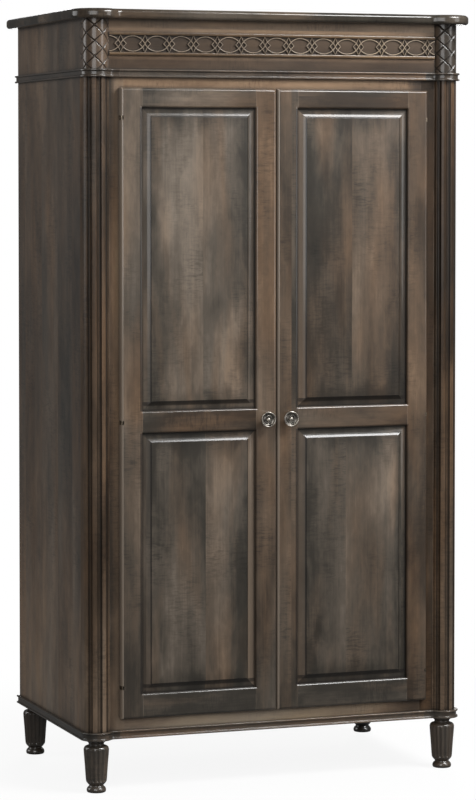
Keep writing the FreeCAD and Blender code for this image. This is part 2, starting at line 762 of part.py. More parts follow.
def door_frame(side, sign):
    """The whole frame of one door, moulded and grooved, before it is parted into stiles and rails."""
    through = (DOOR_FRONT, DOOR_BACK)
    blank = block(f"{side}_door_blank", mirrored(sign, "door_gap / 2", DOOR_EDGE), through,
                  (DOOR_BOTTOM, DOOR_TOP))
    panel_span = (PANEL_INNER, PANEL_OUTER)
    lights = [
        block(f"{side}_door_{level}_light", mirrored(sign, *panel_span), through, heights)
        for level, heights in OPENINGS.items()
    ]
    grooves = [
        block(f"{side}_door_{level}_groove", mirrored(sign, *widened(panel_span, "groove_depth")),
              (GROOVE_FRONT, GROOVE_BACK), widened(heights, "groove_depth"))
        for level, heights in OPENINGS.items()
    ]
    pierced = cut(f"{side}_door_pierced", blank, *lights)
    front, low, high = number(DOOR_FRONT), number(DOOR_BOTTOM), number(DOOR_TOP)
    inner, outer = number("door_gap / 2"), number(DOOR_EDGE)

    def on_rim(middle):
        reach = abs(middle.x)
        return near(middle.z, low) or near(middle.z, high) or near(reach, inner) or near(reach, outer)

    moulded = round_edges(
        f"{side}_door_moulded", pierced,
        (lambda edge, middle: near(middle.y, front) and on_rim(middle), "door_edge_round"),
        (lambda edge, middle: near(middle.y, front), "sticking_round"))
    return cut(f"{side}_door_frame", moulded, *grooves)


def rail_tenons(side, sign, rail):
    low, high, low_shoulder, high_shoulder = RAILS[rail]
    heights = (f"{low} + {low_shoulder}", f"{high} - {high_shoulder}")
    spans = {
        "meeting": (f"{PANEL_INNER} - tenon_length", PANEL_INNER),
        "hinge": (PANEL_OUTER, f"{PANEL_OUTER} + tenon_length"),
    }
    depth = (GROOVE_FRONT, GROOVE_BACK)
    return {
        stile: block(f"{side}_{rail}_{stile}_tenon", mirrored(sign, *span), depth, heights)
        for stile, span in spans.items()
    }


def raised_panel(name, sign, heights):
    span = (PANEL_INNER, PANEL_OUTER)
    reach = "groove_depth - panel_play"
    tongue = block(f"{name}_tongue", mirrored(sign, *widened(span, reach)),
                   (f"{GROOVE_FRONT} + panel_fit", f"{GROOVE_BACK} - panel_fit"), widened(heights, reach))
    low_x, high_x = mirrored(sign, *span)
    low_z, high_z = heights
    bevel = doc.addObject("Part::Wedge", f"{name}_bevel")
    bind(bevel, Xmin="panel_bevel", Xmax=f"{high_x} - ({low_x}) - panel_bevel",
         Zmin="panel_bevel", Zmax=f"{high_z} - {low_z} - panel_bevel",
         X2min="panel_fit", X2max=f"{high_x} - ({low_x}) - panel_fit",
         Z2min="panel_fit", Z2max=f"{high_z} - {low_z} - panel_fit",
         Ymin="0", Ymax="bevel_rise + panel_fit")
    place(bevel, low_x, BEVEL_FRONT, low_z)
    field = block(f"{name}_field", (f"{low_x} + panel_bevel", f"{high_x} - panel_bevel"),
                  (FIELD_FRONT, BEVEL_FRONT), (f"{low_z} + panel_bevel", f"{high_z} - panel_bevel"))
    front = number(FIELD_FRONT)
    return round_edges(f"{name}_rounded", fuse(f"{name}_whole", tongue, bevel, field),
                       (lambda edge, middle: near(middle.y, front), "field_round"))


def knob(name, sign):
    """A turned ring knob: rose, waisted stem, and a head with a sunk ring round its boss."""
    body = doc.addObject("PartDesign::Body", f"{name}_body")
    points = [
        (KNOB_HOLE, "0"),
        ("knob_rose_radius", "0"),
        ("knob_rose_radius", "knob_rose_height"),
        ("knob_stem_radius", "knob_rose_height + knob_rose_height / 2"),
        ("knob_stem_radius", "knob_stem_length"),
        ("knob_radius", "knob_rim_height"),
        ("knob_radius", "knob_length - knob_ring_depth"),
        ("knob_ring_radius", "knob_length - knob_ring_depth / 2"),
        ("knob_ring_radius", "knob_length - 2 * knob_ring_depth"),
        ("knob_boss_radius", "knob_length - 2 * knob_ring_depth"),
        ("knob_boss_radius", "knob_length - knob_ring_depth"),
        ("0", "knob_length"),
        ("0", "knob_screw_grip"),
        (KNOB_HOLE, "knob_screw_grip"),
    ]
    head = turned(body, name, points)
    round_rims(body, head, name, [("knob_radius", "knob_rim_height", "knob_round")])
    body.Placement = FreeCAD.Placement(FreeCAD.Vector(), TURN["-y"])
    place(body, f"{sign} * {KNOB_X}", DOOR_FRONT, "middle_rail_height")
    return body


def knob_shank(name, sign, radius, length):
    """A rod on the knob's axis, from the back of the door towards the knob."""
    return rod(name, "-y", (f"{sign} * {KNOB_X}", DOOR_BACK, "middle_rail_height"), radius, length)


def knob_screw(name, sign):
    length = "door_thickness + knob_screw_grip - knob_screw_tip_gap"
    shank = knob_shank(f"{name}_shank", sign, "knob_screw_radius", length)
    head = rod(f"{name}_head", "y", (f"{sign} * {KNOB_X}", DOOR_BACK, "middle_rail_height"),
               "knob_screw_head_radius", "knob_screw_head_height")
    return fuse(name, shank, head)


for side, sign in SIDES.items():
    frame = door_frame(side, sign)
    tenons = {rail: rail_tenons(side, sign, rail) for rail in RAILS}
    through = (DOOR_FRONT, DOOR_BACK)
    stile_spans = {"hinge": (PANEL_OUTER, DOOR_EDGE), "meeting": ("door_gap / 2", PANEL_INNER)}
    extra_cuts = {
        "hinge": door_hinges[side]["notches"],
        "meeting": [knob_shank(f"{side}_knob_hole", sign, KNOB_HOLE, "door_thickness")],
    }
    for stile, span in stile_spans.items():
        zone = block(f"{side}_{stile}_zone", mirrored(sign, *span), through, (DOOR_BOTTOM, DOOR_TOP))
        mortises = [tenons[rail][stile] for rail in RAILS]
        whole = common(f"{side}_{stile}_whole", frame, zone)
        node(cut(f"{side}_{stile}_cut", whole, *mortises, *extra_cuts[stile]), f"{side}_door_{stile}_stile")
    for rail, (low, high, _, _) in RAILS.items():
        zone = block(f"{side}_{rail}_zone", mirrored(sign, PANEL_INNER, PANEL_OUTER), through, (low, high))
        bar = common(f"{side}_{rail}_bar", frame, zone)
        node(fuse(f"{side}_{rail}_rail", bar, *tenons[rail].values()), f"{side}_door_{rail}_rail")
    for level, heights in OPENINGS.items():
        node(raised_panel(f"{side}_{level}", sign, heights), f"{side}_door_{level}_panel")
    node(knob(f"{side}_knob", sign), f"{side}_door_knob")
    node(knob_screw(f"{side}_knob_screw", sign), f"{side}_door_knob_screw")
    node(group(f"{side}_leaf_set", door_hinges[side]["leaves"]), f"{side}_door_hinge_leaves")
    node(group(f"{side}_screw_set", door_hinges[side]["screws"]), f"{side}_door_hinge_screws")

# Magnetic catches under the top rail, each with a steel plate on the back of its door.
catches = []
for side, sign in SIDES.items():
    catch_front = f"({DOOR_BACK} + catch_plate_thickness + catch_gap)"
    catches.append(block(
        f"{side}_catch", mirrored(sign, "catch_inset", "catch_inset + catch_width"),
        (catch_front, f"{catch_front} + catch_depth"), (f"{OPEN_TOP} - catch_height", OPEN_TOP)))
    plate_span = mirrored(sign, "catch_inset + catch_margin", "catch_inset + catch_width - catch_margin")
    node(block(f"{side}_plate", plate_span, (DOOR_BACK, f"{DOOR_BACK} + catch_plate_thickness"),
               (f"{OPEN_TOP} - catch_height", f"{OPEN_TOP} - catch_margin")), f"{side}_door_catch_plate")
node(group("catch_set", catches), "door_catches")

# Feet: turned, tapered and fluted, each held by a bolt from the body above it.
FOOT_TAPER_LOW = "(foot_ball_height + foot_neck_height)"
FOOT_SHOULDER = "(foot_height - foot_shoulder_drop)"
FOOT_COLLAR = "(foot_height - foot_collar_height)"


def foot(name, x, y):
    body = doc.addObject("PartDesign::Body", f"{name}_body")
    bore = "foot_bolt_radius + screw_clearance"
    points = [
        ("0", "0"),
        ("foot_ball_radius", "0"),
        ("foot_ball_radius", "foot_ball_height"),
        ("foot_neck_radius", "foot_ball_height"),
        ("foot_neck_radius", FOOT_TAPER_LOW),
        ("foot_taper_radius", FOOT_TAPER_LOW),
        ("foot_shoulder_radius", FOOT_SHOULDER),
        ("foot_throat_radius", FOOT_SHOULDER),
        ("foot_throat_radius", f"{FOOT_SHOULDER} + foot_throat_height"),
        ("foot_collar_radius", FOOT_COLLAR),
        ("foot_collar_radius", "foot_height"),
        (bore, "foot_height"),
        (bore, "foot_height - foot_bolt_down"),
        ("0", "foot_height - foot_bolt_down"),
    ]
    shape = turned(body, name, points)
    rims = [
        ("foot_ball_radius", "0", "foot_ball_round"),
        ("foot_ball_radius", "foot_ball_height", "foot_ball_round"),
        ("foot_taper_radius", FOOT_TAPER_LOW, "foot_taper_round"),
        ("foot_shoulder_radius", FOOT_SHOULDER, "foot_shoulder_round"),
    ]
    round_rims(body, shape, name, rims)
    foot_flutes(body, name)
    place(body, x, y, "0")
    return body


def foot_flutes(body, name):
    """Spindle-shaped hollows along the taper, evenly round the foot."""
    rise = f"({FOOT_SHOULDER} - {FOOT_TAPER_LOW})"
    lean = f"((foot_shoulder_radius - foot_taper_radius) / {rise})"
    offset = "(foot_flute_radius - foot_flute_depth)"
    low = f"({FOOT_TAPER_LOW} + foot_flute_margin)"
    high = f"({FOOT_SHOULDER} - foot_flute_margin)"

    def on_taper(height, out):
        return f"foot_taper_radius + ({height} - {FOOT_TAPER_LOW}) * {lean} + {out}", height

    corners = [
        on_taper(low, offset),
        on_taper(f"{low} + foot_flute_radius", f"({offset} - foot_flute_radius)"),
        on_taper(f"{high} - foot_flute_radius", f"({offset} - foot_flute_radius)"),
        on_taper(high, offset),
    ]
    sketch = profile_sketch(body, "XZ_Plane", f"{name}_flute_profile", corners)
    ends = [FreeCAD.Vector(number(out), number(up), 0) for out, up in (corners[0], corners[-1])]
    axis = sketch.addGeometry(Part.LineSegment(*ends), True)
    sketch.addConstraint(Sketcher.Constraint("Coincident", axis, 1, 0, 1))
    sketch.addConstraint(Sketcher.Constraint("Coincident", axis, 2, 3, 1))
    hollow = body.newObject("PartDesign::Groove", f"{name}_flute")
    hollow.Profile = sketch
    hollow.ReferenceAxis = (sketch, ["Axis0"])
    hollow.Angle = 360
    doc.recompute()
    ring = body.newObject("PartDesign::PolarPattern", f"{name}_flutes")
    ring.Originals = [hollow]
    ring.Axis = (origin_axis(body, "Z_Axis"), [""])
    ring.Angle = 360
    bind(ring, Occurrences="foot_flutes")
    body.Tip = ring
    doc.recompute()


bolts, foot_blocks = [], []
for end, y in (("front", COLUMN_Y), ("rear", REAR_FOOT_Y)):
    for side, sign in SIDES.items():
        x = f"{sign} * {COLUMN_X}"
        name = f"{end}_{side}_foot"
        node(foot(name, x, y), name)
        bolts.append(rod(f"{name}_bolt", "z", (x, y, "foot_height - foot_bolt_down"), "foot_bolt_radius",
                         "foot_bolt_down + foot_bolt_up"))
        if end == "rear":
            corner = block(f"{name}_corner", mirrored(sign, f"{INNER_SIDE} - foot_block_size", INNER_SIDE),
                           (f"{INNER_BACK} - foot_block_size", INNER_BACK),
                           ("foot_height", f"{OPEN_BOTTOM} - board_thickness"))
            foot_blocks.append(cut(f"{name}_block", corner, bolt_hole(f"{name}_hole", x, y, "foot_bolt_up")))
node(group("bolt_set", bolts), "foot_bolts")
node(group("foot_block_set", foot_blocks), "rear_foot_blocks")

# Inside: a hat shelf on two cleats, and a hanging rail in two sockets below it.
SHELF_FRONT = f"({POST_BACK} + cleat_inset)"
RAIL_HEIGHT = "(shelf_height - hanging_rail_drop)"
RAIL_Y = f"(({FRAME_BACK} + {INNER_BACK}) / 2)"

node(block("shelf_sheet", mirrored_pair(INNER_SIDE), (SHELF_FRONT, INNER_BACK),
           ("shelf_height", "shelf_height + board_thickness")), "hat_shelf")
cleats, sockets = [], []
for side, sign in SIDES.items():
    cleats.append(block(
        f"{side}_cleat", mirrored(sign, f"{INNER_SIDE} - board_thickness", INNER_SIDE),
        (f"{SHELF_FRONT} + cleat_inset", INNER_BACK), ("shelf_height - cleat_height", "shelf_height")))
    outer = f"({sign} * {INNER_SIDE})" if sign < 0 else f"({INNER_SIDE} - socket_thickness)"
    flange = rod(f"{side}_socket_flange", "x", (outer, RAIL_Y, RAIL_HEIGHT), "socket_radius",
                 "socket_thickness")
    bore_start = f"({outer} + socket_back)" if sign < 0 else outer
    bore = rod(f"{side}_socket_bore", "x", (bore_start, RAIL_Y, RAIL_HEIGHT),
               "hanging_rail_radius + socket_clearance", "socket_thickness - socket_back")
    sockets.append(cut(f"{side}_socket", flange, bore))
node(group("cleat_set", cleats), "shelf_cleats")
node(group("socket_set", sockets), "rail_sockets")
rail_reach = f"({INNER_SIDE} - socket_back - socket_clearance)"
node(rod("hanging_rod", "x", (f"-{rail_reach}", RAIL_Y, RAIL_HEIGHT), "hanging_rail_radius",
         f"2 * {rail_reach}"), "hanging_rail")

# Every object and every sub-part's shape is checked before any file is written.
doc.recompute()
for item in doc.Objects:
    if "Invalid" in item.State or "Error" in item.State:
        raise RuntimeError(f"{item.Name} failed: {item.State}")
for label, piece in nodes.items():
    if piece.Shape.isNull() or not piece.Shape.isValid() or not piece.Shape.Solids:
        raise RuntimeError(f"{label} has no valid solid")

os.makedirs("parts", exist_ok=True)
for label, piece in nodes.items():
    piece.Shape.exportStep(f"parts/{label}.step")
print(f"{len(nodes)} sub-parts written")
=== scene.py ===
# Two-door wardrobe in stained maple: the finish of every piece, the carved, turned and raised pieces
# in their full form, and the studio round them. Metres, front towards -Y, +X to the viewer's right.
import bmesh
import bpy
import math
from mathutils import Matrix, Vector
from mathutils.geometry import interpolate_bezier


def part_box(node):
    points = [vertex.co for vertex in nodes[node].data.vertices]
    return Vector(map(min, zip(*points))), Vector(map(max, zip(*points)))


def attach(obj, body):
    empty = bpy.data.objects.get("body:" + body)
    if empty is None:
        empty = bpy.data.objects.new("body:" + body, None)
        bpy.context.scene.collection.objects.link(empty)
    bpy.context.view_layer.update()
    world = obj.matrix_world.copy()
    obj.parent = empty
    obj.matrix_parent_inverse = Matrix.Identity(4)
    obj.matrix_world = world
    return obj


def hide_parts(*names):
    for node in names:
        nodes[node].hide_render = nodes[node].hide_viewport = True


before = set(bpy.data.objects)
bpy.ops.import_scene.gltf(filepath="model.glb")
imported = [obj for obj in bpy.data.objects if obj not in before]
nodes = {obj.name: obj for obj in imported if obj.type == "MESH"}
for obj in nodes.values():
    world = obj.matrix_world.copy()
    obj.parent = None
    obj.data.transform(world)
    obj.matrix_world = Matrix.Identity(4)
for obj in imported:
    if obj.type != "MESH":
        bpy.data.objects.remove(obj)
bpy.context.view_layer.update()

# Carcass boards: glued-up maple sides, floor and ceiling with a thin back in a rebate. The sides are
# stained grey-brown and lacquered, the boards inside are stained lighter and left satin.
SIDES = {"left": -1, "right": 1}


def tint(code):
    """A colour as written on a paint card, on the shader's linear scale."""
    parts = [int(code[start:start + 2], 16) / 255 for start in (1, 3, 5)]
    return [*(part / 12.92 if part <= 0.04045 else ((part + 0.055) / 1.055) ** 2.4 for part in parts), 1]


def put(tree, kind, settings=None, **inputs):
    """One new node, with its settings, and its inputs as numbers or as other nodes' outputs."""
    made = tree.nodes.new(kind)
    for name, value in (settings or {}).items():
        setattr(made, name, value)
    for name, value in inputs.items():
        feed(tree, made.inputs[name.replace("_", " ")], value)
    return made


def feed(tree, socket, value):
    if isinstance(value, bpy.types.NodeSocket):
        tree.links.new(value, socket)
    else:
        socket.default_value = value


def maths(tree, operation, *terms, clamp=False):
    made = put(tree, "ShaderNodeMath", {"operation": operation, "use_clamp": clamp})
    for socket, term in zip(made.inputs, terms):
        feed(tree, socket, term)
    return made.outputs[0]


def blend(tree, factor, first, second, kind="MIX"):
    made = put(tree, "ShaderNodeMix", {"data_type": "RGBA", "blend_type": kind, "clamp_factor": True})
    for socket, value in zip((made.inputs[0], made.inputs[6], made.inputs[7]), (factor, first, second)):
        feed(tree, socket, value)
    return made.outputs[2]


def ramp(tree, value, stops):
    made = put(tree, "ShaderNodeValToRGB", Fac=value)
    band = made.color_ramp.elements
    while len(band) < len(stops):
        band.new(1)
    for element, (place, colour) in zip(band, stops):
        element.position = place
        element.color = tint(colour)
    return made.outputs["Color"]


def spread(tree, value, low, high, out_low=0.0, out_high=1.0):
    made = put(tree, "ShaderNodeMapRange", Value=value, From_Min=low, From_Max=high,
               To_Min=out_low, To_Max=out_high)
    return made.outputs["Result"]


def vector_maths(tree, operation, *terms):
    made = put(tree, "ShaderNodeVectorMath", {"operation": operation})
    for socket, term in zip(made.inputs, terms):
        feed(tree, socket, term)
    return made.outputs[0]


def noise(tree, place, stretch, detail, distortion=0.0):
    """Cloudy noise with that many clouds to the metre along each axis."""
    scaled = vector_maths(tree, "MULTIPLY", place, stretch)
    made = put(tree, "ShaderNodeTexNoise", Vector=scaled, Scale=1.0, Detail=detail, Roughness=0.55,
               Distortion=distortion)
    return made.outputs["Fac"]


def apart(tree, value, place):
    """How far a value is from a place, to either side."""
    return maths(tree, "ABSOLUTE", maths(tree, "SUBTRACT", value, place))


def axes_of(tree, vector):
    return put(tree, "ShaderNodeSeparateXYZ", Vector=vector).outputs


def spot_on(tree):
    """The place on the piece, which holds still in every view and pose."""
    return put(tree, "ShaderNodeTexCoord").outputs["Object"]


COOL_STAIN = ((0.0, "#171512"), (0.3, "#34302a"), (0.52, "#544c43"), (0.75, "#796e62"), (1.0, "#9a8e7e"))
WARM_STAIN = ((0.0, "#1a130d"), (0.3, "#3b2d21"), (0.52, "#5e4a38"), (0.75, "#816952"), (1.0, "#a18b6f"))
# A pale colour for wood rubbed through on worn edges, also laid as a painted highlight, and a dark glaze
# colour, also laid as painted shade.
RUBBED_EDGE_AND_HIGHLIGHT = tint("#97897a")
GLAZE_AND_SHADE = tint("#120e0b")


def maple_figure():
    """Stained maple with its grain along Z: staves, stain blotches, curl, pores, dark edges, and glaze with
    painted shade in recesses.
    """
    tree = bpy.data.node_groups.new("maple_figure", "ShaderNodeTree")
    for name, kind in (("Place", "Vector"), ("Spot", "Vector"), ("Middle", "Vector"), ("Half", "Vector"),
                       ("Stave Width", "Float"), ("Stave Stray", "Float"), ("Stave Contrast", "Float"),
                       ("Tone", "Float"), ("Warmth", "Float"), ("Blotch", "Float"), ("Burnish", "Float"),
                       ("Glaze", "Float")):
        tree.interface.new_socket(name, in_out="INPUT", socket_type=f"NodeSocket{kind}")
    for name, kind in (("Colour", "Color"), ("Roughness", "Float"), ("Height", "Float")):
        tree.interface.new_socket(name, in_out="OUTPUT", socket_type=f"NodeSocket{kind}")
    given = put(tree, "NodeGroupInput").outputs

    across = axes_of(tree, given["Place"])
    stave = put(tree, "ShaderNodeTexVoronoi", {"voronoi_dimensions": "1D"}, Scale=1.0,
                Randomness=given["Stave Stray"],
                W=maths(tree, "DIVIDE", across["X"], given["Stave Width"]))
    lot = put(tree, "ShaderNodeSeparateColor", Color=stave.outputs["Color"]).outputs
    shift = put(tree, "ShaderNodeCombineXYZ", X=0.0, Y=maths(tree, "MULTIPLY", lot["Blue"], 4.0),
                Z=maths(tree, "MULTIPLY", lot["Red"], 9.0))
    board = vector_maths(tree, "ADD", given["Place"], shift.outputs[0])

    clouds = noise(tree, board, (6, 6, 1.8), 2, 0.6)
    patches = noise(tree, board, (22, 22, 6), 3, 0.6)
    streaks = noise(tree, board, (40, 40, 1.2), 3, 0.3)
    grain = noise(tree, board, (240, 240, 5), 4, 0.2)
    pores = noise(tree, board, (1300, 1300, 40), 2)
    mottle = noise(tree, board, (70, 70, 28), 3, 0.5)
    ticks = noise(tree, board, (34, 34, 190), 2, 1.0)
    curl = maths(tree, "MULTIPLY", spread(tree, ticks, 0.46, 0.68),
                 spread(tree, noise(tree, board, (8, 8, 4), 2), 0.46, 0.64))

    value = maths(tree, "MULTIPLY", maths(tree, "SUBTRACT", clouds, 0.5), given["Blotch"])
    for part, weight in ((patches, 0.26), (streaks, 0.14), (mottle, 0.18), (grain, 0.15), (pores, 0.09),
                         (lot["Green"], given["Stave Contrast"])):
        value = maths(tree, "MULTIPLY_ADD", maths(tree, "SUBTRACT", part, 0.5), weight, value)
    value = maths(tree, "MULTIPLY_ADD", curl, -0.115, value)
    figure = value

    from_middle = vector_maths(tree, "SUBTRACT", given["Spot"], given["Middle"])
    from_middle = vector_maths(tree, "ABSOLUTE", from_middle)
    margin = axes_of(tree, vector_maths(tree, "SUBTRACT", given["Half"], from_middle))
    margin = maths(tree, "MINIMUM", maths(tree, "MINIMUM", margin["X"], margin["Y"]), margin["Z"])
    margin = maths(tree, "MULTIPLY_ADD", maths(tree, "SUBTRACT", patches, 0.5), 0.08, margin)
    value = maths(tree, "MULTIPLY_ADD", spread(tree, margin, 0.075, -0.005), given["Burnish"], value)
    value = maths(tree, "ADD", value, given["Tone"])

    warm = noise(tree, board, (10, 10, 1.6), 2, 0.6)
    warm = maths(tree, "MULTIPLY_ADD", maths(tree, "SUBTRACT", warm, 0.5), 2.0, given["Warmth"])
    warm = maths(tree, "MULTIPLY_ADD", figure, 1.0, warm)
    warm = maths(tree, "MULTIPLY_ADD", maths(tree, "SUBTRACT", lot["Red"], 0.5),
                 maths(tree, "MULTIPLY", given["Stave Contrast"], 2.0), warm, clamp=True)
    stain = blend(tree, warm, ramp(tree, value, COOL_STAIN), ramp(tree, value, WARM_STAIN))

    # Glaze and painted shade: darker where other surfaces close round a spot, in corners and recesses.
    nook = put(tree, "ShaderNodeAmbientOcclusion", {"samples": 6}, Distance=0.014).outputs["AO"]
    glaze_and_shade = maths(tree, "MULTIPLY", spread(tree, nook, 0.85, 0.35), given["Glaze"])
    rim = put(tree, "ShaderNodeAmbientOcclusion", {"samples": 6, "inside": True, "only_local": True},
              Distance=0.0035).outputs["AO"]
    rub = maths(tree, "MULTIPLY", spread(tree, rim, 0.82, 0.45), spread(tree, patches, 0.42, 0.66))
    colour = blend(tree, maths(tree, "MULTIPLY", rub, 0.3), stain, RUBBED_EDGE_AND_HIGHLIGHT)
    colour = blend(tree, glaze_and_shade, colour, GLAZE_AND_SHADE)

    height = maths(tree, "MULTIPLY_ADD", pores, 0.5, grain)
    rough = maths(tree, "MULTIPLY_ADD", maths(tree, "SUBTRACT", patches, 0.5), 0.14, 0.4)
    rough = maths(tree, "MULTIPLY_ADD", glaze_and_shade, 0.25, rough)
    put(tree, "NodeGroupOutput", Colour=colour, Roughness=rough, Height=height)
    return tree


def new_finish(name):
    """A new material, with its tree and its shader."""
    material = bpy.data.materials.new(name)
    material.use_nodes = True
    return material, material.node_tree, material.node_tree.nodes["Principled BSDF"]


MAPLE = maple_figure()
AXES = {"x": Vector((1, 0, 0)), "y": Vector((0, 1, 0)), "z": Vector((0, 0, 1))}
LOG_STEP = Vector((0.137, 0.211, 0.37))
STAVE_STRAY = 0.7
FAR = 9.0
ALL_ROUND = (Vector((-FAR, -FAR, -FAR)), Vector((FAR, FAR, FAR)))
PORE_STRENGTH, PORE_DEPTH = 0.12, 0.0006
LACQUER_ROUGHNESS = 0.13


def stained_maple(name, seed, grain="zx", tone=0.5, warmth=0.35, stave=1.0, contrast=0.0, blotch=0.75,
                  gloss=0.8, shine=0.3, burnish=0.0, edges=ALL_ROUND, glaze_and_shade=0.92, joint=None):
    """Lacquered maple. Grain names the axis along it and the axis across its staves, the seed moves it to
    another place in the log, and the stain is burnished darker towards the edges of a box. A joint is the
    place across the grain where two staves meet."""
    material, tree, shader = new_finish(f"{name}_maple")
    along, across = (AXES[letter] for letter in grain)
    spot = spot_on(tree)
    log_place = LOG_STEP * seed
    stray = STAVE_STRAY
    if joint is not None:
        log_place.x = (seed + 0.5) * stave - joint
        stray = 0.0
    place = put(tree, "ShaderNodeMapping", Vector=spot, Location=log_place,
                Rotation=Matrix((across, along.cross(across), along)).to_euler())
    low, high = edges
    figure = put(tree, "ShaderNodeGroup", {"node_tree": MAPLE}, Place=place.outputs[0], Spot=spot,
                 Middle=(low + high) / 2, Half=(high - low) / 2, Stave_Width=stave, Stave_Stray=stray,
                 Stave_Contrast=contrast, Tone=tone, Warmth=warmth, Blotch=blotch, Burnish=-burnish,
                 Glaze=glaze_and_shade).outputs
    bump = put(tree, "ShaderNodeBump", Height=figure["Height"], Strength=PORE_STRENGTH,
               Distance=PORE_DEPTH)
    feed(tree, shader.inputs["Base Color"], figure["Colour"])
    feed(tree, shader.inputs["Roughness"], figure["Roughness"])
    feed(tree, shader.inputs["Normal"], bump.outputs[0])
    shader.inputs["Specular IOR Level"].default_value = shine
    shader.inputs["Coat Weight"].default_value = gloss
    shader.inputs["Coat Roughness"].default_value = LACQUER_ROUGHNESS
    return material


def finish(piece, material):
    """Gives every face of a piece one finish."""
    if not piece.material_slots:
        piece.data.materials.append(material)
    for place in piece.material_slots:
        place.material = material


def board(node, seed, **finish_of):
    """Stains and lacquers a plain board of the CAD model."""
    material = stained_maple(node, seed, **finish_of)
    finish(nodes[node], material)
    return material


def stain_and_light_along(material, axis, stations):
    """Lets the tone change along a piece, for changes of stain and for painted light and shade: places on an
    axis, each with its tone and its warmth.
    """
    tree = material.node_tree
    figure = next(node for node in tree.nodes if node.type == "GROUP")
    place = axes_of(tree, spot_on(tree))[axis]
    for index, name in ((1, "Tone"), (2, "Warmth")):
        amount = stations[0][index]
        for here, there in zip(stations, stations[1:]):
            change = put(tree, "ShaderNodeMapRange", {"interpolation_type": "SMOOTHSTEP"}, Value=place,
                         From_Min=here[0], From_Max=there[0], To_Max=there[index] - here[index])
            amount = maths(tree, "ADD", change.outputs["Result"], amount)
        feed(tree, figure.inputs[name], amount)


def face_edges(node, through):
    """The box of a board's face: its own, but open along the axis through the board."""
    low, high = (corner.copy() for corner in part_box(node))
    index = "xyz".index(through)
    low[index], high[index] = -FAR, FAR
    return low, high


SIDE_FINISH = {"stave": 0.13, "contrast": 0.12, "blotch": 0.55, "gloss": 0.3, "burnish": 0.08}
SIDE_FOOT, SIDE_MIDDLE, SIDE_HEAD = (0.66, 0.5), (0.47, 0.45), (0.57, 0.45)
INSIDE_FINISH = {"tone": 0.6, "warmth": 0.6, "contrast": 0.1, "gloss": 0.05}
BACK_STAVE, SHELF_STAVE = 0.3, 0.12
for step, side in enumerate(SIDES):
    node = f"{side}_side_panel"
    low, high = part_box(node)
    side_maple = board(node, 1 + step, grain="zy", edges=face_edges(node, "x"), **SIDE_FINISH)
    stain_and_light_along(side_maple, "Z", (
        (low.z, *SIDE_FOOT), ((low.z + high.z) / 2, *SIDE_MIDDLE), (high.z, *SIDE_HEAD)))
board("back_panel", 3, stave=BACK_STAVE, **INSIDE_FINISH)
for step, node in enumerate(("floor_board", "ceiling_board")):
    board(node, 4 + step, grain="xy", stave=SHELF_STAVE, **INSIDE_FINISH)

# Corner columns: half-round maple posts with a square shoulder behind, planed with three hollow flutes
# from the base moulding to the waist, and glued in the corner between side panel and face frame.
POST_RADIUS = 0.033
POST_SHOULDER = 0.024
FLUTE_RADIUS = 0.007
FLUTE_DEPTH = 0.005
FLUTE_ANGLES = [math.radians(turn) for turn in (-45, 0, 45)]
ARRIS = 0.0007
POST_STEPS = 360
FLUTE_EDGE_SHADE, FLUTE_MIDDLE_SHADE = 0.72, 0.4
FLUTE_SHADE_EDGE, FLUTE_SHADE_MIDDLE = (0.0078, 0.0056), (0.0015, 0.0042)
COLUMN_GLOSS = {"left": 0.05, "right": 0.16}
COLUMN_SHINE = 0.14
COLUMN_TONES = {"left": (0.67, 0.41, 0.45), "right": (0.57, 0.3, 0.39)}
COLUMN_WARMTHS = (0.6, 0.8, 1.0)


def skin(name, rings, crease=35):
    """A closed piece through rings of as many points each, with a flat end at both."""
    count = len(rings[0])
    points = [point for ring in rings for point in ring]
    faces = [tuple(range(count)), tuple(range(len(points) - count, len(points)))]
    for row in range(0, len(points) - count, count):
        for here in range(count):
            there = (here + 1) % count
            faces.append((row + here, row + there, row + count + there, row + count + here))
    mesh = bpy.data.meshes.new(name)
    mesh.from_pydata(points, [], faces)
    return shown(name, mesh, crease)


def placed(name, data):
    """A new object in the scene."""
    made = bpy.data.objects.new(name, data)
    bpy.context.scene.collection.objects.link(made)
    return made


def shown(name, mesh, crease):
    """Puts a mesh in the scene with outward faces, smooth up to a crease of that many degrees."""
    work = bmesh.new()
    work.from_mesh(mesh)
    bmesh.ops.remove_doubles(work, verts=work.verts, dist=1e-7)
    bmesh.ops.recalc_face_normals(work, faces=work.faces)
    work.to_mesh(mesh)
    work.free()
    mesh.shade_smooth()
    mesh.set_sharp_from_angle(angle=math.radians(crease))
    return placed(name, mesh)


def fixed(piece, body, slot, *replaced):
    """Fastens a piece to its body in place of the plain solids that it stands for."""
    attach(piece, body)
    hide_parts(*replaced)


def post_outline(node, sink):
    """The post's plan, front round first; sink gives how deep a point of the round is cut at an angle."""
    low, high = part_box(node)
    middle = Vector(((low.x + high.x) / 2, low.y + POST_RADIUS))
    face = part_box("frieze_board")[0].y
    outline = []
    for step in range(POST_STEPS + 1):
        turn = math.radians(-90 + 180 * step / POST_STEPS)
        reach = POST_RADIUS - sink(turn)
        x, y = middle.x + reach * math.sin(turn), middle.y - reach * math.cos(turn)
        if y > face and turn * middle.x < 0:
            x, y = middle.x + math.copysign(POST_RADIUS, turn), face
        outline.append((x, y))
    return [*outline, (high.x, middle.y + POST_SHOULDER), (low.x, middle.y + POST_SHOULDER)]


def flute_cut(turn):
    """Depth of a hollow flute at an angle of the round, eased over the arris at its two edges."""
    deepest = 0.0
    for centre in FLUTE_ANGLES:
        away = abs(POST_RADIUS * math.sin(turn - centre))
        if math.cos(turn - centre) > 0 and away < FLUTE_RADIUS:
            hollow = math.sqrt(FLUTE_RADIUS ** 2 - away ** 2) - (FLUTE_RADIUS - FLUTE_DEPTH)
            deepest = max(deepest, (hollow + math.hypot(hollow, ARRIS)) / 2)
    return deepest


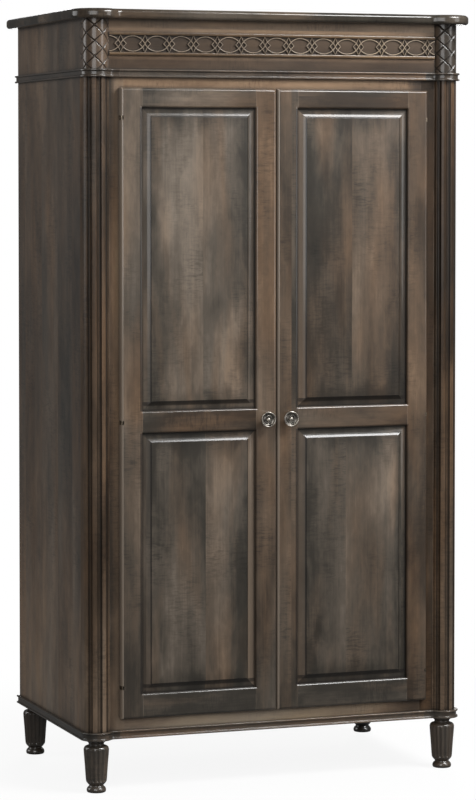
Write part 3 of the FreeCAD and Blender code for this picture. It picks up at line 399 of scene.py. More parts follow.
def lay_glaze_and_painted_light(material, amount, colour=GLAZE_AND_SHADE, kind="MIX"):
    """Lays a colour over a finish, as much as a socket of its tree says from 0 to 1: glaze and bare wood,
    and also painted shade and painted highlights.
    """
    tree = material.node_tree
    base = tree.nodes["Principled BSDF"].inputs["Base Color"]
    feed(tree, base, blend(tree, amount, base.links[0].from_socket, colour, kind))


def turn_round(tree, node):
    """The angle round a post from its front, and the height above its foot."""
    low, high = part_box(node)
    spot = axes_of(tree, spot_on(tree))
    turn = maths(tree, "ARCTAN2", maths(tree, "SUBTRACT", spot["X"], (low.x + high.x) / 2),
                 maths(tree, "SUBTRACT", low.y + POST_RADIUS, spot["Y"]))
    return turn, maths(tree, "SUBTRACT", spot["Z"], low.z)


def least_of(tree, distances):
    least = distances[0]
    for distance in distances[1:]:
        least = maths(tree, "MINIMUM", least, distance)
    return least


for side in SIDES:
    node = f"{side}_column"
    low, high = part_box(node)
    plan = post_outline(node, flute_cut)
    column = skin(f"{side}_fluted_column", [[(x, y, z) for x, y in plan] for z in (low.z, high.z)])
    column_maple = stained_maple(node, 6 + SIDES[side], gloss=COLUMN_GLOSS[side], shine=COLUMN_SHINE)
    # The tone is painted lighter towards the foot of the column, against the lamps' fall-off.
    heights = (low.z, (low.z + high.z) / 2, high.z)
    stain_and_light_along(column_maple, "Z", list(zip(heights, COLUMN_TONES[side], COLUMN_WARMTHS)))
    tree = column_maple.node_tree
    # Painted shade in the flutes, darkest along their sides and lighter down their middle.
    turn = turn_round(tree, node)[0]
    away = least_of(tree, [apart(tree, turn, centre) for centre in FLUTE_ANGLES])
    away = maths(tree, "MULTIPLY", away, POST_RADIUS)
    from_edge = spread(tree, away, *FLUTE_SHADE_EDGE, 0.0, FLUTE_EDGE_SHADE)
    from_middle = spread(tree, away, *FLUTE_SHADE_MIDDLE, FLUTE_MIDDLE_SHADE, FLUTE_EDGE_SHADE)
    lay_glaze_and_painted_light(column_maple, maths(tree, "MINIMUM", from_edge, from_middle))
    finish(column, column_maple)
    fixed(column, "carcass", "stained_wood", node)

# Face frame: two narrow stiles and two rails of plain maple round the doorway, tenoned at the corners and
# glued flush to the columns. The stain changes along the right stile and the rails. Across the left stile
# the tone is painted: darker at its outer edge and lighter towards the door, against the shadow that the
# door casts on it.
STILE_FADE, TOP_FADE, BOTTOM_FADE = 0.022, 0.05, 0.18
low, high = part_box("left_face_stile")
stain_and_light_along(board("left_face_stile", 10, gloss=0.2), "X", (
    (low.x, 0.38, 0.65), (low.x + STILE_FADE, 0.72, 0.65)))
stain_and_light_along(board("right_face_stile", 11, gloss=0.05, shine=0.15), "Z", (
    (low.z, 0.28, 0.75), (high.z, 0.14, 0.9)))
low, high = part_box("top_face_rail")
stain_and_light_along(board("top_face_rail", 12, grain="xz"), "X", (
    (low.x, 0.66, 0.95), (low.x + TOP_FADE, 0.64, 1.0),
    (high.x - TOP_FADE, 0.66, 1.0), (high.x, 0.24, 0.9)))
stain_and_light_along(board("bottom_face_rail", 13, grain="xz"), "X", (
    (low.x, 0.66, 0.5), (low.x + BOTTOM_FADE, 0.95, 0.55),
    (high.x - BOTTOM_FADE, 0.95, 0.55), (high.x, 0.4, 0.5)))

# Waist and base mouldings: two beads with a cove between, run in maple, mitred into a front length and
# a length that turns round the column and along each side.
FRONT_LENGTH = {"grain": "xz", "tone": 0.46, "warmth": 0.5, "gloss": 0.7}
SIDE_LENGTH = {"grain": "yz", "tone": 0.36, "warmth": 0.3, "gloss": 0.7}
for step, course in enumerate(("waist", "base")):
    board(f"{course}_moulding_front", 14 + step, **FRONT_LENGTH)
    board(f"{course}_moulding_left", 16 + step, **SIDE_LENGTH)
    board(f"{course}_moulding_right", 18 + step, **SIDE_LENGTH)

# Frieze: a plain maple board above the doors, glued in between the corner blocks. Behind the fret band it is
# darkened with glaze and painted shade, under the band a narrow painted shadow is laid, and its tone is
# painted lighter towards the top, against the shadow of the top board.
FRET_GROUND_SHADE, FRET_SHADE_START, FRET_SHADE_FULL = 0.72, 0.002, 0.006
UNDER_BAND_SHADOW, UNDER_BAND_REACH = 0.62, 0.012
low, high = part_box("frieze_board")
frieze_maple = board("frieze_board", 20, grain="xz", gloss=0.5)
stain_and_light_along(frieze_maple, "Z", ((low.z, 0.53, 0.9), (high.z, 0.71, 0.8)))
tree = frieze_maple.node_tree
low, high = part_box("fret_strip")
half_band = (high.z - low.z) / 2
height = axes_of(tree, spot_on(tree))["Z"]
behind = apart(tree, height, (low.z + high.z) / 2)
behind = spread(tree, behind, half_band - FRET_SHADE_START, half_band - FRET_SHADE_FULL, 0.0, FRET_GROUND_SHADE)
under = spread(tree, height, low.z, low.z - UNDER_BAND_REACH, 0.0, UNDER_BAND_SHADOW)
lay_glaze_and_painted_light(frieze_maple, maths(tree, "MAXIMUM", behind, under))

# Frieze blocks: round maple corner blocks glued over the columns and carved with a lattice of V grooves in
# diamonds. Dark glaze and painted shade fill the grooves.
LATTICE_PITCH = 0.0395
LATTICE_TURN = math.radians(40)
LATTICE_LOW = 0.012
GROOVE_HALF_WIDTH = 0.0024
GROOVE_DEPTH = 0.0019
LATTICE_ROWS = 150
STROKE_GAP = LATTICE_PITCH * math.cos(math.atan2(LATTICE_PITCH / 2, POST_RADIUS * LATTICE_TURN))
GROOVE_GLAZE_AND_SHADE, GROOVE_SHADE_START, GROOVE_SHADE_FULL = 0.85, 0.8 * GROOVE_HALF_WIDTH, 0.0006
BLOCK_FINISH = {"tone": 0.33, "warmth": 0.6, "gloss": 0.6}


def lattice_cut(height):
    """How deep the grooves are cut at each angle of the round, at one height on the block."""
    def cut(turn):
        nearest = 1.0
        for lean in (-1, 1):
            strokes = (height - LATTICE_LOW) / LATTICE_PITCH + lean * (turn / LATTICE_TURN - 0.5) / 2
            nearest = min(nearest, abs(strokes - round(strokes)) * STROKE_GAP)
        return GROOVE_DEPTH * max(0.0, 1 - nearest / GROOVE_HALF_WIDTH)

    return cut


for side in SIDES:
    node = f"{side}_frieze_block"
    low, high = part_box(node)
    rings = []
    for row in range(LATTICE_ROWS + 1):
        height = (high.z - low.z) * row / LATTICE_ROWS
        rings.append([(x, y, low.z + height) for x, y in post_outline(node, lattice_cut(height))])
    block = skin(f"{side}_carved_block", rings)
    block_maple = stained_maple(node, 22 + SIDES[side], **BLOCK_FINISH)
    tree = block_maple.node_tree
    turn, height = turn_round(tree, node)
    row = maths(tree, "DIVIDE", maths(tree, "SUBTRACT", height, LATTICE_LOW), LATTICE_PITCH)
    sideways = maths(tree, "SUBTRACT", maths(tree, "DIVIDE", turn, LATTICE_TURN), 0.5)
    sideways = maths(tree, "MULTIPLY", sideways, 0.5)
    strokes = [maths(tree, lean, row, sideways) for lean in ("ADD", "SUBTRACT")]
    off_stroke = [apart(tree, stroke, maths(tree, "ROUND", stroke)) for stroke in strokes]
    from_stroke = maths(tree, "MULTIPLY", least_of(tree, off_stroke), STROKE_GAP)
    # Glaze and painted shade in the grooves.
    lay_glaze_and_painted_light(block_maple, spread(tree, from_stroke, GROOVE_SHADE_START, GROOVE_SHADE_FULL, 0.0,
                                   GROOVE_GLAZE_AND_SHADE))
    finish(block, block_maple)
    fixed(block, "carcass", "stained_wood", node)

# Fret band: a carved maple strip glued to the frieze, with two round strands that swing past each other in
# ovals, a lozenge at each crossing and a flat fillet above and below.
FRET_BAYS = 13
FRET_FIRST, FRET_LAST = -0.4197, 0.429
STRAND_POINTS, STRAND_SIDES, FILLET_STEPS = 360, 10, 4
FRET_SIZES = {"Swing": 0.0195, "Strand Width": 0.003, "Strand Rise": 0.0022, "Lift": 0.0007,
              "Lozenge Width": 0.03, "Lozenge Hollow": 0.6, "Fillet Width": 0.008, "Fillet Round": 0.0022}
FILLET_STAIN = tint("#a6957f")


def fret_tree():
    """The band lying in the XY plane with its strands along X, then stood up to face -Y."""
    tree = bpy.data.node_groups.new("fret_band", "GeometryNodeTree")
    for name in ("Start", "End", "First", "Bay", "Height", "Thickness", "Face", "Middle", *FRET_SIZES):
        tree.interface.new_socket(name, in_out="INPUT", socket_type="NodeSocketFloat")
    tree.interface.new_socket("Crossings", in_out="INPUT", socket_type="NodeSocketInt")
    tree.interface.new_socket("Finish", in_out="INPUT", socket_type="NodeSocketMaterial")
    tree.interface.new_socket("Geometry", in_out="OUTPUT", socket_type="NodeSocketGeometry")
    given = put(tree, "NodeGroupInput").outputs

    def vector(x=0.0, y=0.0, z=0.0):
        return put(tree, "ShaderNodeCombineXYZ", X=x, Y=y, Z=z).outputs[0]

    def half(value):
        return maths(tree, "MULTIPLY", value, 0.5)

    def bar(path, section):
        level = put(tree, "GeometryNodeSetCurveNormal", {"mode": "Z_UP"}, Curve=path)
        made = put(tree, "GeometryNodeCurveToMesh", Curve=level.outputs[0], Profile_Curve=section,
                   Fill_Caps=True)
        return made.outputs[0]

    circle = put(tree, "GeometryNodeCurvePrimitiveCircle", Resolution=STRAND_SIDES, Radius=1.0)
    round_section = put(tree, "GeometryNodeTransform", Geometry=circle.outputs[0],
                        Scale=vector(half(given["Strand Width"]), given["Strand Rise"], 1.0))
    run = put(tree, "GeometryNodeCurvePrimitiveLine", Start=vector(given["Start"]),
              End=vector(given["End"]))
    fine_run = put(tree, "GeometryNodeResampleCurve", Curve=run.outputs[0], Count=STRAND_POINTS)
    along = axes_of(tree, put(tree, "GeometryNodeInputPosition").outputs[0])["X"]
    bays = maths(tree, "DIVIDE", maths(tree, "SUBTRACT", along, given["First"]), given["Bay"])
    from_middle = maths(tree, "SUBTRACT", maths(tree, "FRACT", bays), 0.5)
    from_middle = maths(tree, "MULTIPLY", from_middle, given["Bay"])
    odd_bay = maths(tree, "FLOORED_MODULO", maths(tree, "FLOOR", bays), 2.0)
    turn = maths(tree, "SUBTRACT", 1.0, maths(tree, "MULTIPLY", 2.0, odd_bay))
    half_bay = half(given["Bay"])
    swing_squared = maths(tree, "POWER", given["Swing"], 2.0)
    radius = maths(tree, "DIVIDE", maths(tree, "MULTIPLY_ADD", half_bay, half_bay, swing_squared),
                   maths(tree, "MULTIPLY", given["Swing"], 2.0))
    arch = maths(tree, "SUBTRACT", maths(tree, "POWER", radius, 2.0),
                 maths(tree, "POWER", maths(tree, "ABSOLUTE", from_middle), 2.0))
    arch = maths(tree, "SUBTRACT", maths(tree, "SQRT", arch),
                 maths(tree, "SUBTRACT", radius, given["Swing"]))
    over = maths(tree, "COSINE", maths(tree, "MULTIPLY", bays, math.pi))
    rise = maths(tree, "MULTIPLY", given["Lift"], over)
    parts = []
    for sign in (-1.0, 1.0):
        sway = maths(tree, "MULTIPLY", maths(tree, "MULTIPLY", arch, turn), sign)
        out = maths(tree, "MULTIPLY_ADD", rise, sign, given["Strand Rise"])
        path = put(tree, "GeometryNodeSetPosition", Geometry=fine_run.outputs[0],
                   Offset=vector(0.0, sway, out))
        parts.append(bar(path.outputs[0], round_section.outputs[0]))

    reach = half(maths(tree, "SUBTRACT", given["Height"], given["Fillet Width"]))
    half_lozenge = maths(tree, "SUBTRACT", reach, half(given["Fillet Width"]))
    star = put(tree, "GeometryNodeCurveStar", Points=4, Inner_Radius=given["Lozenge Hollow"],
               Outer_Radius=1.0)
    lozenge = put(tree, "GeometryNodeTransform", Geometry=star.outputs[0],
                  Scale=vector(half(given["Lozenge Width"]), half_lozenge, 1.0))
    crossings = put(tree, "GeometryNodeMeshLine", Count=given["Crossings"], Offset=vector(given["Bay"]),
                    Start_Location=vector(given["First"], 0.0, given["Strand Rise"]))
    parts.append(put(tree, "GeometryNodeInstanceOnPoints", Points=crossings.outputs[0],
                     Instance=bar(lozenge.outputs[0], round_section.outputs[0])).outputs[0])

    flat_section = put(tree, "GeometryNodeCurvePrimitiveQuadrilateral", {"mode": "RECTANGLE"},
                       Width=given["Fillet Width"], Height=given["Thickness"])
    eased_section = put(tree, "GeometryNodeFilletCurve", {"mode": "POLY"}, Curve=flat_section.outputs[0],
                        Count=FILLET_STEPS, Radius=given["Fillet Round"])
    lower_edge = vector(0.0, maths(tree, "MULTIPLY", reach, -1.0), half(given["Thickness"]))
    edges = put(tree, "GeometryNodeMeshLine", Count=2, Start_Location=lower_edge,
                Offset=vector(0.0, maths(tree, "MULTIPLY", reach, 2.0)))
    parts.append(put(tree, "GeometryNodeInstanceOnPoints", Points=edges.outputs[0],
                     Instance=bar(run.outputs[0], eased_section.outputs[0])).outputs[0])

    joined = put(tree, "GeometryNodeJoinGeometry")
    for part in parts:
        tree.links.new(part, joined.inputs[0])
    stood = put(tree, "GeometryNodeTransform", Geometry=joined.outputs[0], Rotation=(math.radians(90), 0, 0),
                Translation=vector(0.0, given["Face"], given["Middle"]))
    whole = put(tree, "GeometryNodeRealizeInstances", Geometry=stood.outputs[0])
    finished = put(tree, "GeometryNodeSetMaterial", Geometry=whole.outputs[0], Material=given["Finish"])
    put(tree, "NodeGroupOutput", Geometry=finished.outputs[0])
    return tree


def grown(name, tree, sizes):
    """The plain mesh that a tree makes with these sizes."""
    maker = placed(f"{name}_maker", bpy.data.meshes.new(f"{name}_maker"))
    modifier = maker.modifiers.new("make", "NODES")
    modifier.node_group = tree
    for socket in tree.interface.items_tree:
        if socket.in_out == "INPUT":
            modifier[socket.identifier] = sizes[socket.name]
    mesh = bpy.data.meshes.new_from_object(maker.evaluated_get(bpy.context.evaluated_depsgraph_get()))
    bpy.data.objects.remove(maker)
    return mesh


low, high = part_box("fret_strip")
# The band is stained light, partly as a painted highlight on its round strands; the fillets are stained
# darker.
fret_maple = stained_maple("fret_band", 21, grain="xz", tone=0.82, warmth=0.3, gloss=1.0, glaze_and_shade=0.3)
tree = fret_maple.node_tree
height = axes_of(tree, spot_on(tree))["Z"]
from_edge = least_of(tree, [apart(tree, height, edge) for edge in (low.z, high.z)])
on_fillet = maths(tree, "LESS_THAN", from_edge, FRET_SIZES["Fillet Width"])
lay_glaze_and_painted_light(fret_maple, on_fillet, FILLET_STAIN, "MULTIPLY")
fret_mesh = grown("fret_band", fret_tree(), {
    **FRET_SIZES, "Start": low.x, "End": high.x, "First": FRET_FIRST,
    "Bay": (FRET_LAST - FRET_FIRST) / FRET_BAYS, "Crossings": FRET_BAYS + 1, "Height": high.z - low.z,
    "Thickness": high.y - low.y, "Face": high.y, "Middle": (low.z + high.z) / 2, "Finish": fret_maple})
fret = shown("fret_band", fret_mesh, crease=40)
fixed(fret, "carcass", "stained_wood", "fret_strip")

# Top board: maple staves glued up into one wide board, with a bullnosed edge that follows the round
# corners, glued down on the carcass. The edge is polished and the flat top is left dull.
TOP_FINISH = {"tone": 0.38, "warmth": 0.1, "contrast": 0.1, "gloss": 0.0, "shine": 0.5}
EDGE_POLISH, TOP_DULL = 0.45, 0.62
DULL_START, DULL_FULL = 0.0015, 0.0003
top_maple = board("top_board", 24, grain="xy", stave=SHELF_STAVE, **TOP_FINISH)
tree = top_maple.node_tree
rough = tree.nodes["Principled BSDF"].inputs["Roughness"]
polish = maths(tree, "MULTIPLY", rough.links[0].from_socket, EDGE_POLISH)
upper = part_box("top_board")[1].z
height = axes_of(tree, spot_on(tree))["Z"]
dull = spread(tree, height, upper - DULL_START, upper - DULL_FULL, 0.0, TOP_DULL)
feed(tree, rough, maths(tree, "MAXIMUM", polish, dull))

# Feet: maple turnings with hollow flutes down a tapered body, on a pad foot. A zinc-plated bolt through the
# collar holds each to the carcass, the rear ones to a maple block inside.
FOOT_OUTLINE = [Vector(place) for place in (
    (0.019, 0.0), (0.0235, 0.0012), (0.025, 0.0065), (0.0232, 0.012), (0.0195, 0.0158), (0.0185, 0.0186),
    (0.0215, 0.022), (0.0256, 0.0275), (0.0272, 0.035), (0.0298, 0.072), (0.0325, 0.106), (0.0321, 0.1135),
    (0.0288, 0.1185), (0.0225, 0.121), (0.0197, 0.1238), (0.0205, 0.1275), (0.0243, 0.1312), (0.025, 0.133),
    (0.025, 0.136))]
FOOT_FLUTES = 16
FOOT_FLUTE_DEPTH = 0.0026
FOOT_FLUTE_SHARE = 0.72
FOOT_FLUTE_ENDS = (0.029, 0.036, 0.106, 0.114)
FOOT_POINTS, FOOT_STEPS = 12 * FOOT_FLUTES, 6
# The rear feet are painted darker: painted shade from the carcass above them.
FOOT_TONES = {"front_left": 0.32, "front_right": 0.42, "rear_left": 0.2, "rear_right": 0.04}


def faired(stations, steps):
    """A smooth line through the stations, with that many points to each gap."""
    line = []
    padded = [stations[0], *stations, stations[-1]]
    for before, here, there, after in zip(padded, padded[1:], padded[2:], padded[3:]):
        line += interpolate_bezier(here, here + (there - before) / 6, there - (after - here) / 6, there,
                                   steps + 1)[:-1]
    return [*line, stations[-1]]


def fluted_foot(name, middle):
    """One turned foot, whose flutes run out towards the pad and the shoulder."""
    bottom, low_end, high_end, top = FOOT_FLUTE_ENDS
    rings = []
    for radius, height in faired(FOOT_OUTLINE, FOOT_STEPS):
        run_in = max((height - bottom) / (low_end - bottom), 0)
        run_out = max((top - height) / (top - high_end), 0)
        fade = min(run_in, run_out, 1)
        ring = []
        for step in range(FOOT_POINTS):
            turn = 2 * math.pi * step / FOOT_POINTS
            across = abs((turn * FOOT_FLUTES / (2 * math.pi)) % 1 - 0.5) * 2 / FOOT_FLUTE_SHARE
            reach = radius - FOOT_FLUTE_DEPTH * math.sqrt(fade) * max(0, 1 - across ** 2)
            ring.append((middle.x + reach * math.cos(turn), middle.y + reach * math.sin(turn), height))
        rings.append(ring)
    return skin(name, rings, crease=50)


def plated(name, colour, dark, roughness):
    """Plated metal with fine scratches and a dull film that gathers in its hollows."""
    material, tree, shader = new_finish(name)
    place = spot_on(tree)
    film = noise(tree, place, (140, 140, 140), 4)
    scratch = noise(tree, place, (260, 2200, 2200), 2)
    nook = put(tree, "ShaderNodeAmbientOcclusion", {"samples": 6}, Distance=0.004).outputs["AO"]
    tarnish = maths(tree, "MULTIPLY_ADD", spread(tree, nook, 0.9, 0.4), 0.85,
                    spread(tree, film, 0.5, 0.8, 0, 0.3))
    feed(tree, shader.inputs["Base Color"], blend(tree, tarnish, tint(colour), tint(dark)))
    feed(tree, shader.inputs["Roughness"], spread(tree, film, 0.3, 0.7, roughness - 0.06, roughness + 0.1))
    bump = put(tree, "ShaderNodeBump", Height=scratch, Strength=0.5, Distance=0.00002)
    feed(tree, shader.inputs["Normal"], bump.outputs[0])
    shader.inputs["Metallic"].default_value = 1.0
    return material


for step, place in enumerate(FOOT_TONES):
    node = f"{place}_foot"
    low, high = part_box(node)
    foot = fluted_foot(f"{place}_fluted_foot", (low + high) / 2)
    finish(foot, stained_maple(node, 25 + step, tone=FOOT_TONES[place], warmth=0.25, gloss=1.0))
    fixed(foot, "carcass", "stained_wood", node)
board("rear_foot_blocks", 30, tone=0.5, warmth=0.6, gloss=0.05)
finish(nodes["foot_bolts"], plated("zinc_plated_bolt", "#a5a5a3", "#4f4d49", 0.35))

# Inside fittings: a maple hat shelf that lies on two cleats glued to the sides, and under it a chromed
# steel tube for hangers with a socket at each end.
for step, node in enumerate(("hat_shelf", "shelf_cleats")):
    board(node, 31 + step, grain="xy", stave=SHELF_STAVE, **INSIDE_FINISH)
CHROME = plated("chromed_steel", "#b9b6b0", "#5c5852", 0.22)
for node in ("hanging_rail", "rail_sockets"):
    finish(nodes[node], CHROME)

# Doors: maple stiles and rails with a rounded edge, grooved for the panels and glued at the corners. Each
# board took the stain its own way. The left-hand stiles have a painted highlight along the outer edge and a
# painted shadow line beside the panels.
DOOR_SEEDS = {"left": 30, "right": 50}
STILE_STAINS = {
    "left": {"hinge_stile": ((0.4, 0.0), (0.44, 0.05), (0.47, 0.33)),
             "meeting_stile": ((0.35, 0.1), (0.4, 0.65), (0.51, 0.65))},
    "right": {"hinge_stile": ((0.32, 0.4), (0.4, 0.75), (0.48, 0.85)),
              "meeting_stile": ((0.44, 0.45), (0.52, 0.45), (0.42, 0.3))},
}
RAIL_STAINS = {
    "left": {"top_rail": (0.65, 0.35), "middle_rail": (0.48, 0.7), "bottom_rail": (0.39, 0.1)},
    "right": {"top_rail": (0.37, 0.4), "middle_rail": (0.46, 0.6), "bottom_rail": (0.49, 0.1)},
}
STILE_FOOT_FADE, RAIL_END_FADE = 0.25, 0.11
RAIL_BURNISH = 0.1
HIGHLIGHT_WIDTH, EDGE_PAINT_FADE, HIGHLIGHT_STRENGTH = 0.0055, 0.0015, 0.7
SHADOW_LINE_WIDTH, SHADOW_LINE_STRENGTH = 0.008, 0.7
STILE_GLOSS = {"left": {"hinge_stile": 0.8, "meeting_stile": 0.8},
               "right": {"hinge_stile": 0.3, "meeting_stile": 0.6}}
for side in SIDES:
    waist_low, waist_high = (corner.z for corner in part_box(f"{side}_door_middle_rail"))
    for step, (part, (foot, lower, upper)) in enumerate(STILE_STAINS[side].items()):
        node = f"{side}_door_{part}"
        low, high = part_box(node)
        stile_maple = board(node, DOOR_SEEDS[side] + step, gloss=STILE_GLOSS[side][part])
        stain_and_light_along(stile_maple, "Z", (
            (low.z, *foot), (low.z + STILE_FOOT_FADE, *lower), (waist_low, *lower), (waist_high, *upper)))
        on_left_hand = (part == "hinge_stile") == (side == "left")
        if on_left_hand:
            # A painted highlight along the stile's outer edge.
            tree = stile_maple.node_tree
            spot = axes_of(tree, spot_on(tree))
            from_edge = maths(tree, "SUBTRACT", spot["X"], low.x)
            painted_highlight = spread(tree, from_edge, HIGHLIGHT_WIDTH, HIGHLIGHT_WIDTH - EDGE_PAINT_FADE, 0.0, HIGHLIGHT_STRENGTH)
            lay_glaze_and_painted_light(stile_maple, painted_highlight, RUBBED_EDGE_AND_HIGHLIGHT)
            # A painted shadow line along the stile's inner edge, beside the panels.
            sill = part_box(f"{side}_door_bottom_rail")[1].z
            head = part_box(f"{side}_door_top_rail")[0].z
            between = maths(tree, "COMPARE", spot["Z"], (sill + head) / 2, (head - sill) / 2)
            at_waist = maths(tree, "COMPARE", spot["Z"], (waist_low + waist_high) / 2,
                             (waist_high - waist_low) / 2)
            beside_panel = maths(tree, "SUBTRACT", between, at_waist)
            from_panel = maths(tree, "SUBTRACT", high.x, spot["X"])
            shadow_line = spread(tree, from_panel, SHADOW_LINE_WIDTH, SHADOW_LINE_WIDTH - EDGE_PAINT_FADE, 0.0, SHADOW_LINE_STRENGTH)
            lay_glaze_and_painted_light(stile_maple, maths(tree, "MULTIPLY", beside_panel, shadow_line))
    stiles = sorted(STILE_STAINS[side], key=lambda part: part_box(f"{side}_door_{part}")[0].x)
    inner_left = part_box(f"{side}_door_{stiles[0]}")[1].x
    inner_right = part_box(f"{side}_door_{stiles[1]}")[0].x
    for step, (part, stain) in enumerate(RAIL_STAINS[side].items()):
        node = f"{side}_door_{part}"
        rail_maple = board(node, DOOR_SEEDS[side] + 2 + step, grain="xz", tone=stain[0], warmth=stain[1],
                           burnish=RAIL_BURNISH, edges=face_edges(node, "y"))
        if part != "bottom_rail":
            level = 2 if part == "top_rail" else 1
            left_end, right_end = (STILE_STAINS[side][stile][level] for stile in stiles)
            stain_and_light_along(rail_maple, "X", (
                (inner_left, *left_end), (inner_left + RAIL_END_FADE, *stain),
                (inner_right - RAIL_END_FADE, *stain), (inner_right, *right_end)))

# Door panels: raised panels glued up from two or three maple staves, with a cove worked all round that
# ends in a small step at the field. A tongue at the back lies loose in the groove of the frame.
PANEL_TONES = {"left": {"upper": (0.61, 0.57, 0.3), "lower": (0.5, 0.43, 0.15)},
               "right": {"upper": (0.44, 0.45, 0.35), "lower": (0.54, 0.53, 0.2)}}
PANEL_JOINTS = {"left": {"upper": 0.53, "lower": 0.55}, "right": {"upper": 0.49, "lower": 0.44}}
PANEL_SEEDS = {"left": {"upper": 60, "lower": 53}, "right": {"upper": 58, "lower": 47}}
PANEL_RAILS = {"upper": ("middle_rail", "top_rail"), "lower": ("bottom_rail", "middle_rail")}
TONGUE = 0.0058
COVE_WIDTH, COVE_RISE, COVE_CURVE = 0.0236, 0.006, 2.6
STEP_LEAN = 0.0003
FIELD_ROUND = 0.0009
COVE_STEPS, ROUND_STEPS = 16, 8
TONGUE_REACH = 0.009
# Strengths and widths of the glaze and painted shade under the frame, the painted shade at the field's step,
# the painted shadow on the foot cove, and the painted light in the upright coves.
FRAME_GLAZE_AND_SHADE, FRAME_SHADE_START, FRAME_SHADE_FULL = 0.65, 0.0075, 0.001
STEP_SHADE, STEP_SHADE_START, STEP_SHADE_FULL = 0.6, 0.0028, 0.0006
FOOT_COVE_SHADOW, FOOT_SHADOW_START, FOOT_SHADOW_FULL = 0.72, 0.012, 0.016
PANEL_FINISH = {"stave": 0.16, "contrast": 0.13, "blotch": 0.95, "gloss": 0.45, "burnish": 0.28}
COVE_LIGHT = tint("#7d6c5c")
COVE_FADE = 0.002
PANEL_COVE_LIGHT = {"left": {"upper": (0.12, 0.1), "lower": (0.1, 0.5)},
               "right": {"upper": (0.38, 0.0), "lower": (0.25, 0.0)}}


def panel_profile(rise):
    """Places across the panel's edge: how far in from the opening, and how far out from the tongue."""
    for step in range(COVE_STEPS + 1):
        share = step / COVE_STEPS
        yield COVE_WIDTH * share, COVE_RISE * share ** COVE_CURVE
    for step in range(ROUND_STEPS + 1):
        turn = math.radians(90) * step / ROUND_STEPS
        yield (COVE_WIDTH + STEP_LEAN + FIELD_ROUND * (1 - math.cos(turn)),
               rise - FIELD_ROUND + FIELD_ROUND * math.sin(turn))


def raised_panel(side, level):
    """A door's panel from the back of its tongue to its field, as its stiles and rails leave room."""
    low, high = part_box(f"{side}_door_{level}_panel")
    stiles = [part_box(f"{side}_door_{stile}_stile") for stile in ("hinge", "meeting")]
    stiles.sort(key=lambda box: box[0].x)
    below, above = (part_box(f"{side}_door_{rail}") for rail in PANEL_RAILS[level])
    tongue_front = high.y - TONGUE

    def ring(inset, out):
        left, right = stiles[0][1].x + inset, stiles[1][0].x - inset
        bottom, top = below[1].z + inset, above[0].z - inset
        corners = ((left, bottom), (right, bottom), (right, top), (left, top))
        return [(x, tongue_front - out, z) for x, z in corners]

    reach = low.x - stiles[0][1].x
    rings = [ring(reach, -TONGUE), ring(reach, 0)]
    rings += [ring(*place) for place in panel_profile(tongue_front - low.y)]
    return skin(f"{side}_{level}_raised_panel", rings, crease=20)


def paint_cove_light_and_shade(material, low, high, coves):
    """Painted light in the upright coves, each side with its strength; dark glaze and painted shade where
    the panel goes under the frame, painted shade at the step to the field, and a painted shadow of the field
    on the cove at the foot."""
    tree = material.node_tree
    middle = (low + high) / 2
    spot = spot_on(tree)
    place = axes_of(tree, spot)
    away = vector_maths(tree, "ABSOLUTE", vector_maths(tree, "SUBTRACT", spot, middle))
    margin = axes_of(tree, vector_maths(tree, "SUBTRACT", (high - low) / 2, away))
    upright = maths(tree, "LESS_THAN", margin["X"], margin["Z"])
    inset = maths(tree, "SUBTRACT", maths(tree, "MINIMUM", margin["X"], margin["Z"]), TONGUE_REACH)
    in_cove = maths(tree, "MULTIPLY", upright, spread(tree, inset, COVE_WIDTH, COVE_WIDTH - COVE_FADE))
    on_right = maths(tree, "GREATER_THAN", place["X"], middle.x)
    cove_light = maths(tree, "MULTIPLY_ADD", on_right, coves[1] - coves[0], coves[0])
    lay_glaze_and_painted_light(material, maths(tree, "MULTIPLY", in_cove, cove_light), COVE_LIGHT)
    under_frame = spread(tree, inset, FRAME_SHADE_START, FRAME_SHADE_FULL, 0.0, FRAME_GLAZE_AND_SHADE)
    from_step = apart(tree, inset, COVE_WIDTH)
    at_step = spread(tree, from_step, STEP_SHADE_START, STEP_SHADE_FULL, 0.0, STEP_SHADE)
    from_foot = maths(tree, "SUBTRACT", place["Z"], low.z + TONGUE_REACH)
    in_foot_cove = maths(tree, "LESS_THAN", from_foot, COVE_WIDTH + STEP_LEAN)
    cast_shadow = spread(tree, from_foot, FOOT_SHADOW_START, FOOT_SHADOW_FULL, 0.0, FOOT_COVE_SHADOW)
    cast_shadow = maths(tree, "MULTIPLY", cast_shadow, in_foot_cove)
    lay_glaze_and_painted_light(material, maths(tree, "MAXIMUM", maths(tree, "MAXIMUM", under_frame, at_step), cast_shadow))


for side in SIDES:
    for level, (foot_tone, head_tone, warmth) in PANEL_TONES[side].items():
        node = f"{side}_door_{level}_panel"
        panel = raised_panel(side, level)
        low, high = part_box(node)
        joint = low.x + PANEL_JOINTS[side][level] * (high.x - low.x)
        panel_maple = stained_maple(node, PANEL_SEEDS[side][level], edges=face_edges(node, "y"),
                                    joint=joint, **PANEL_FINISH)
        stain_and_light_along(panel_maple, "Z", ((low.z, foot_tone, warmth), (high.z, head_tone, warmth)))
        paint_cove_light_and_shade(panel_maple, low, high, PANEL_COVE_LIGHT[side][level])
        finish(panel, panel_maple)
        fixed(panel, f"{side}_door", "stained_wood", node)

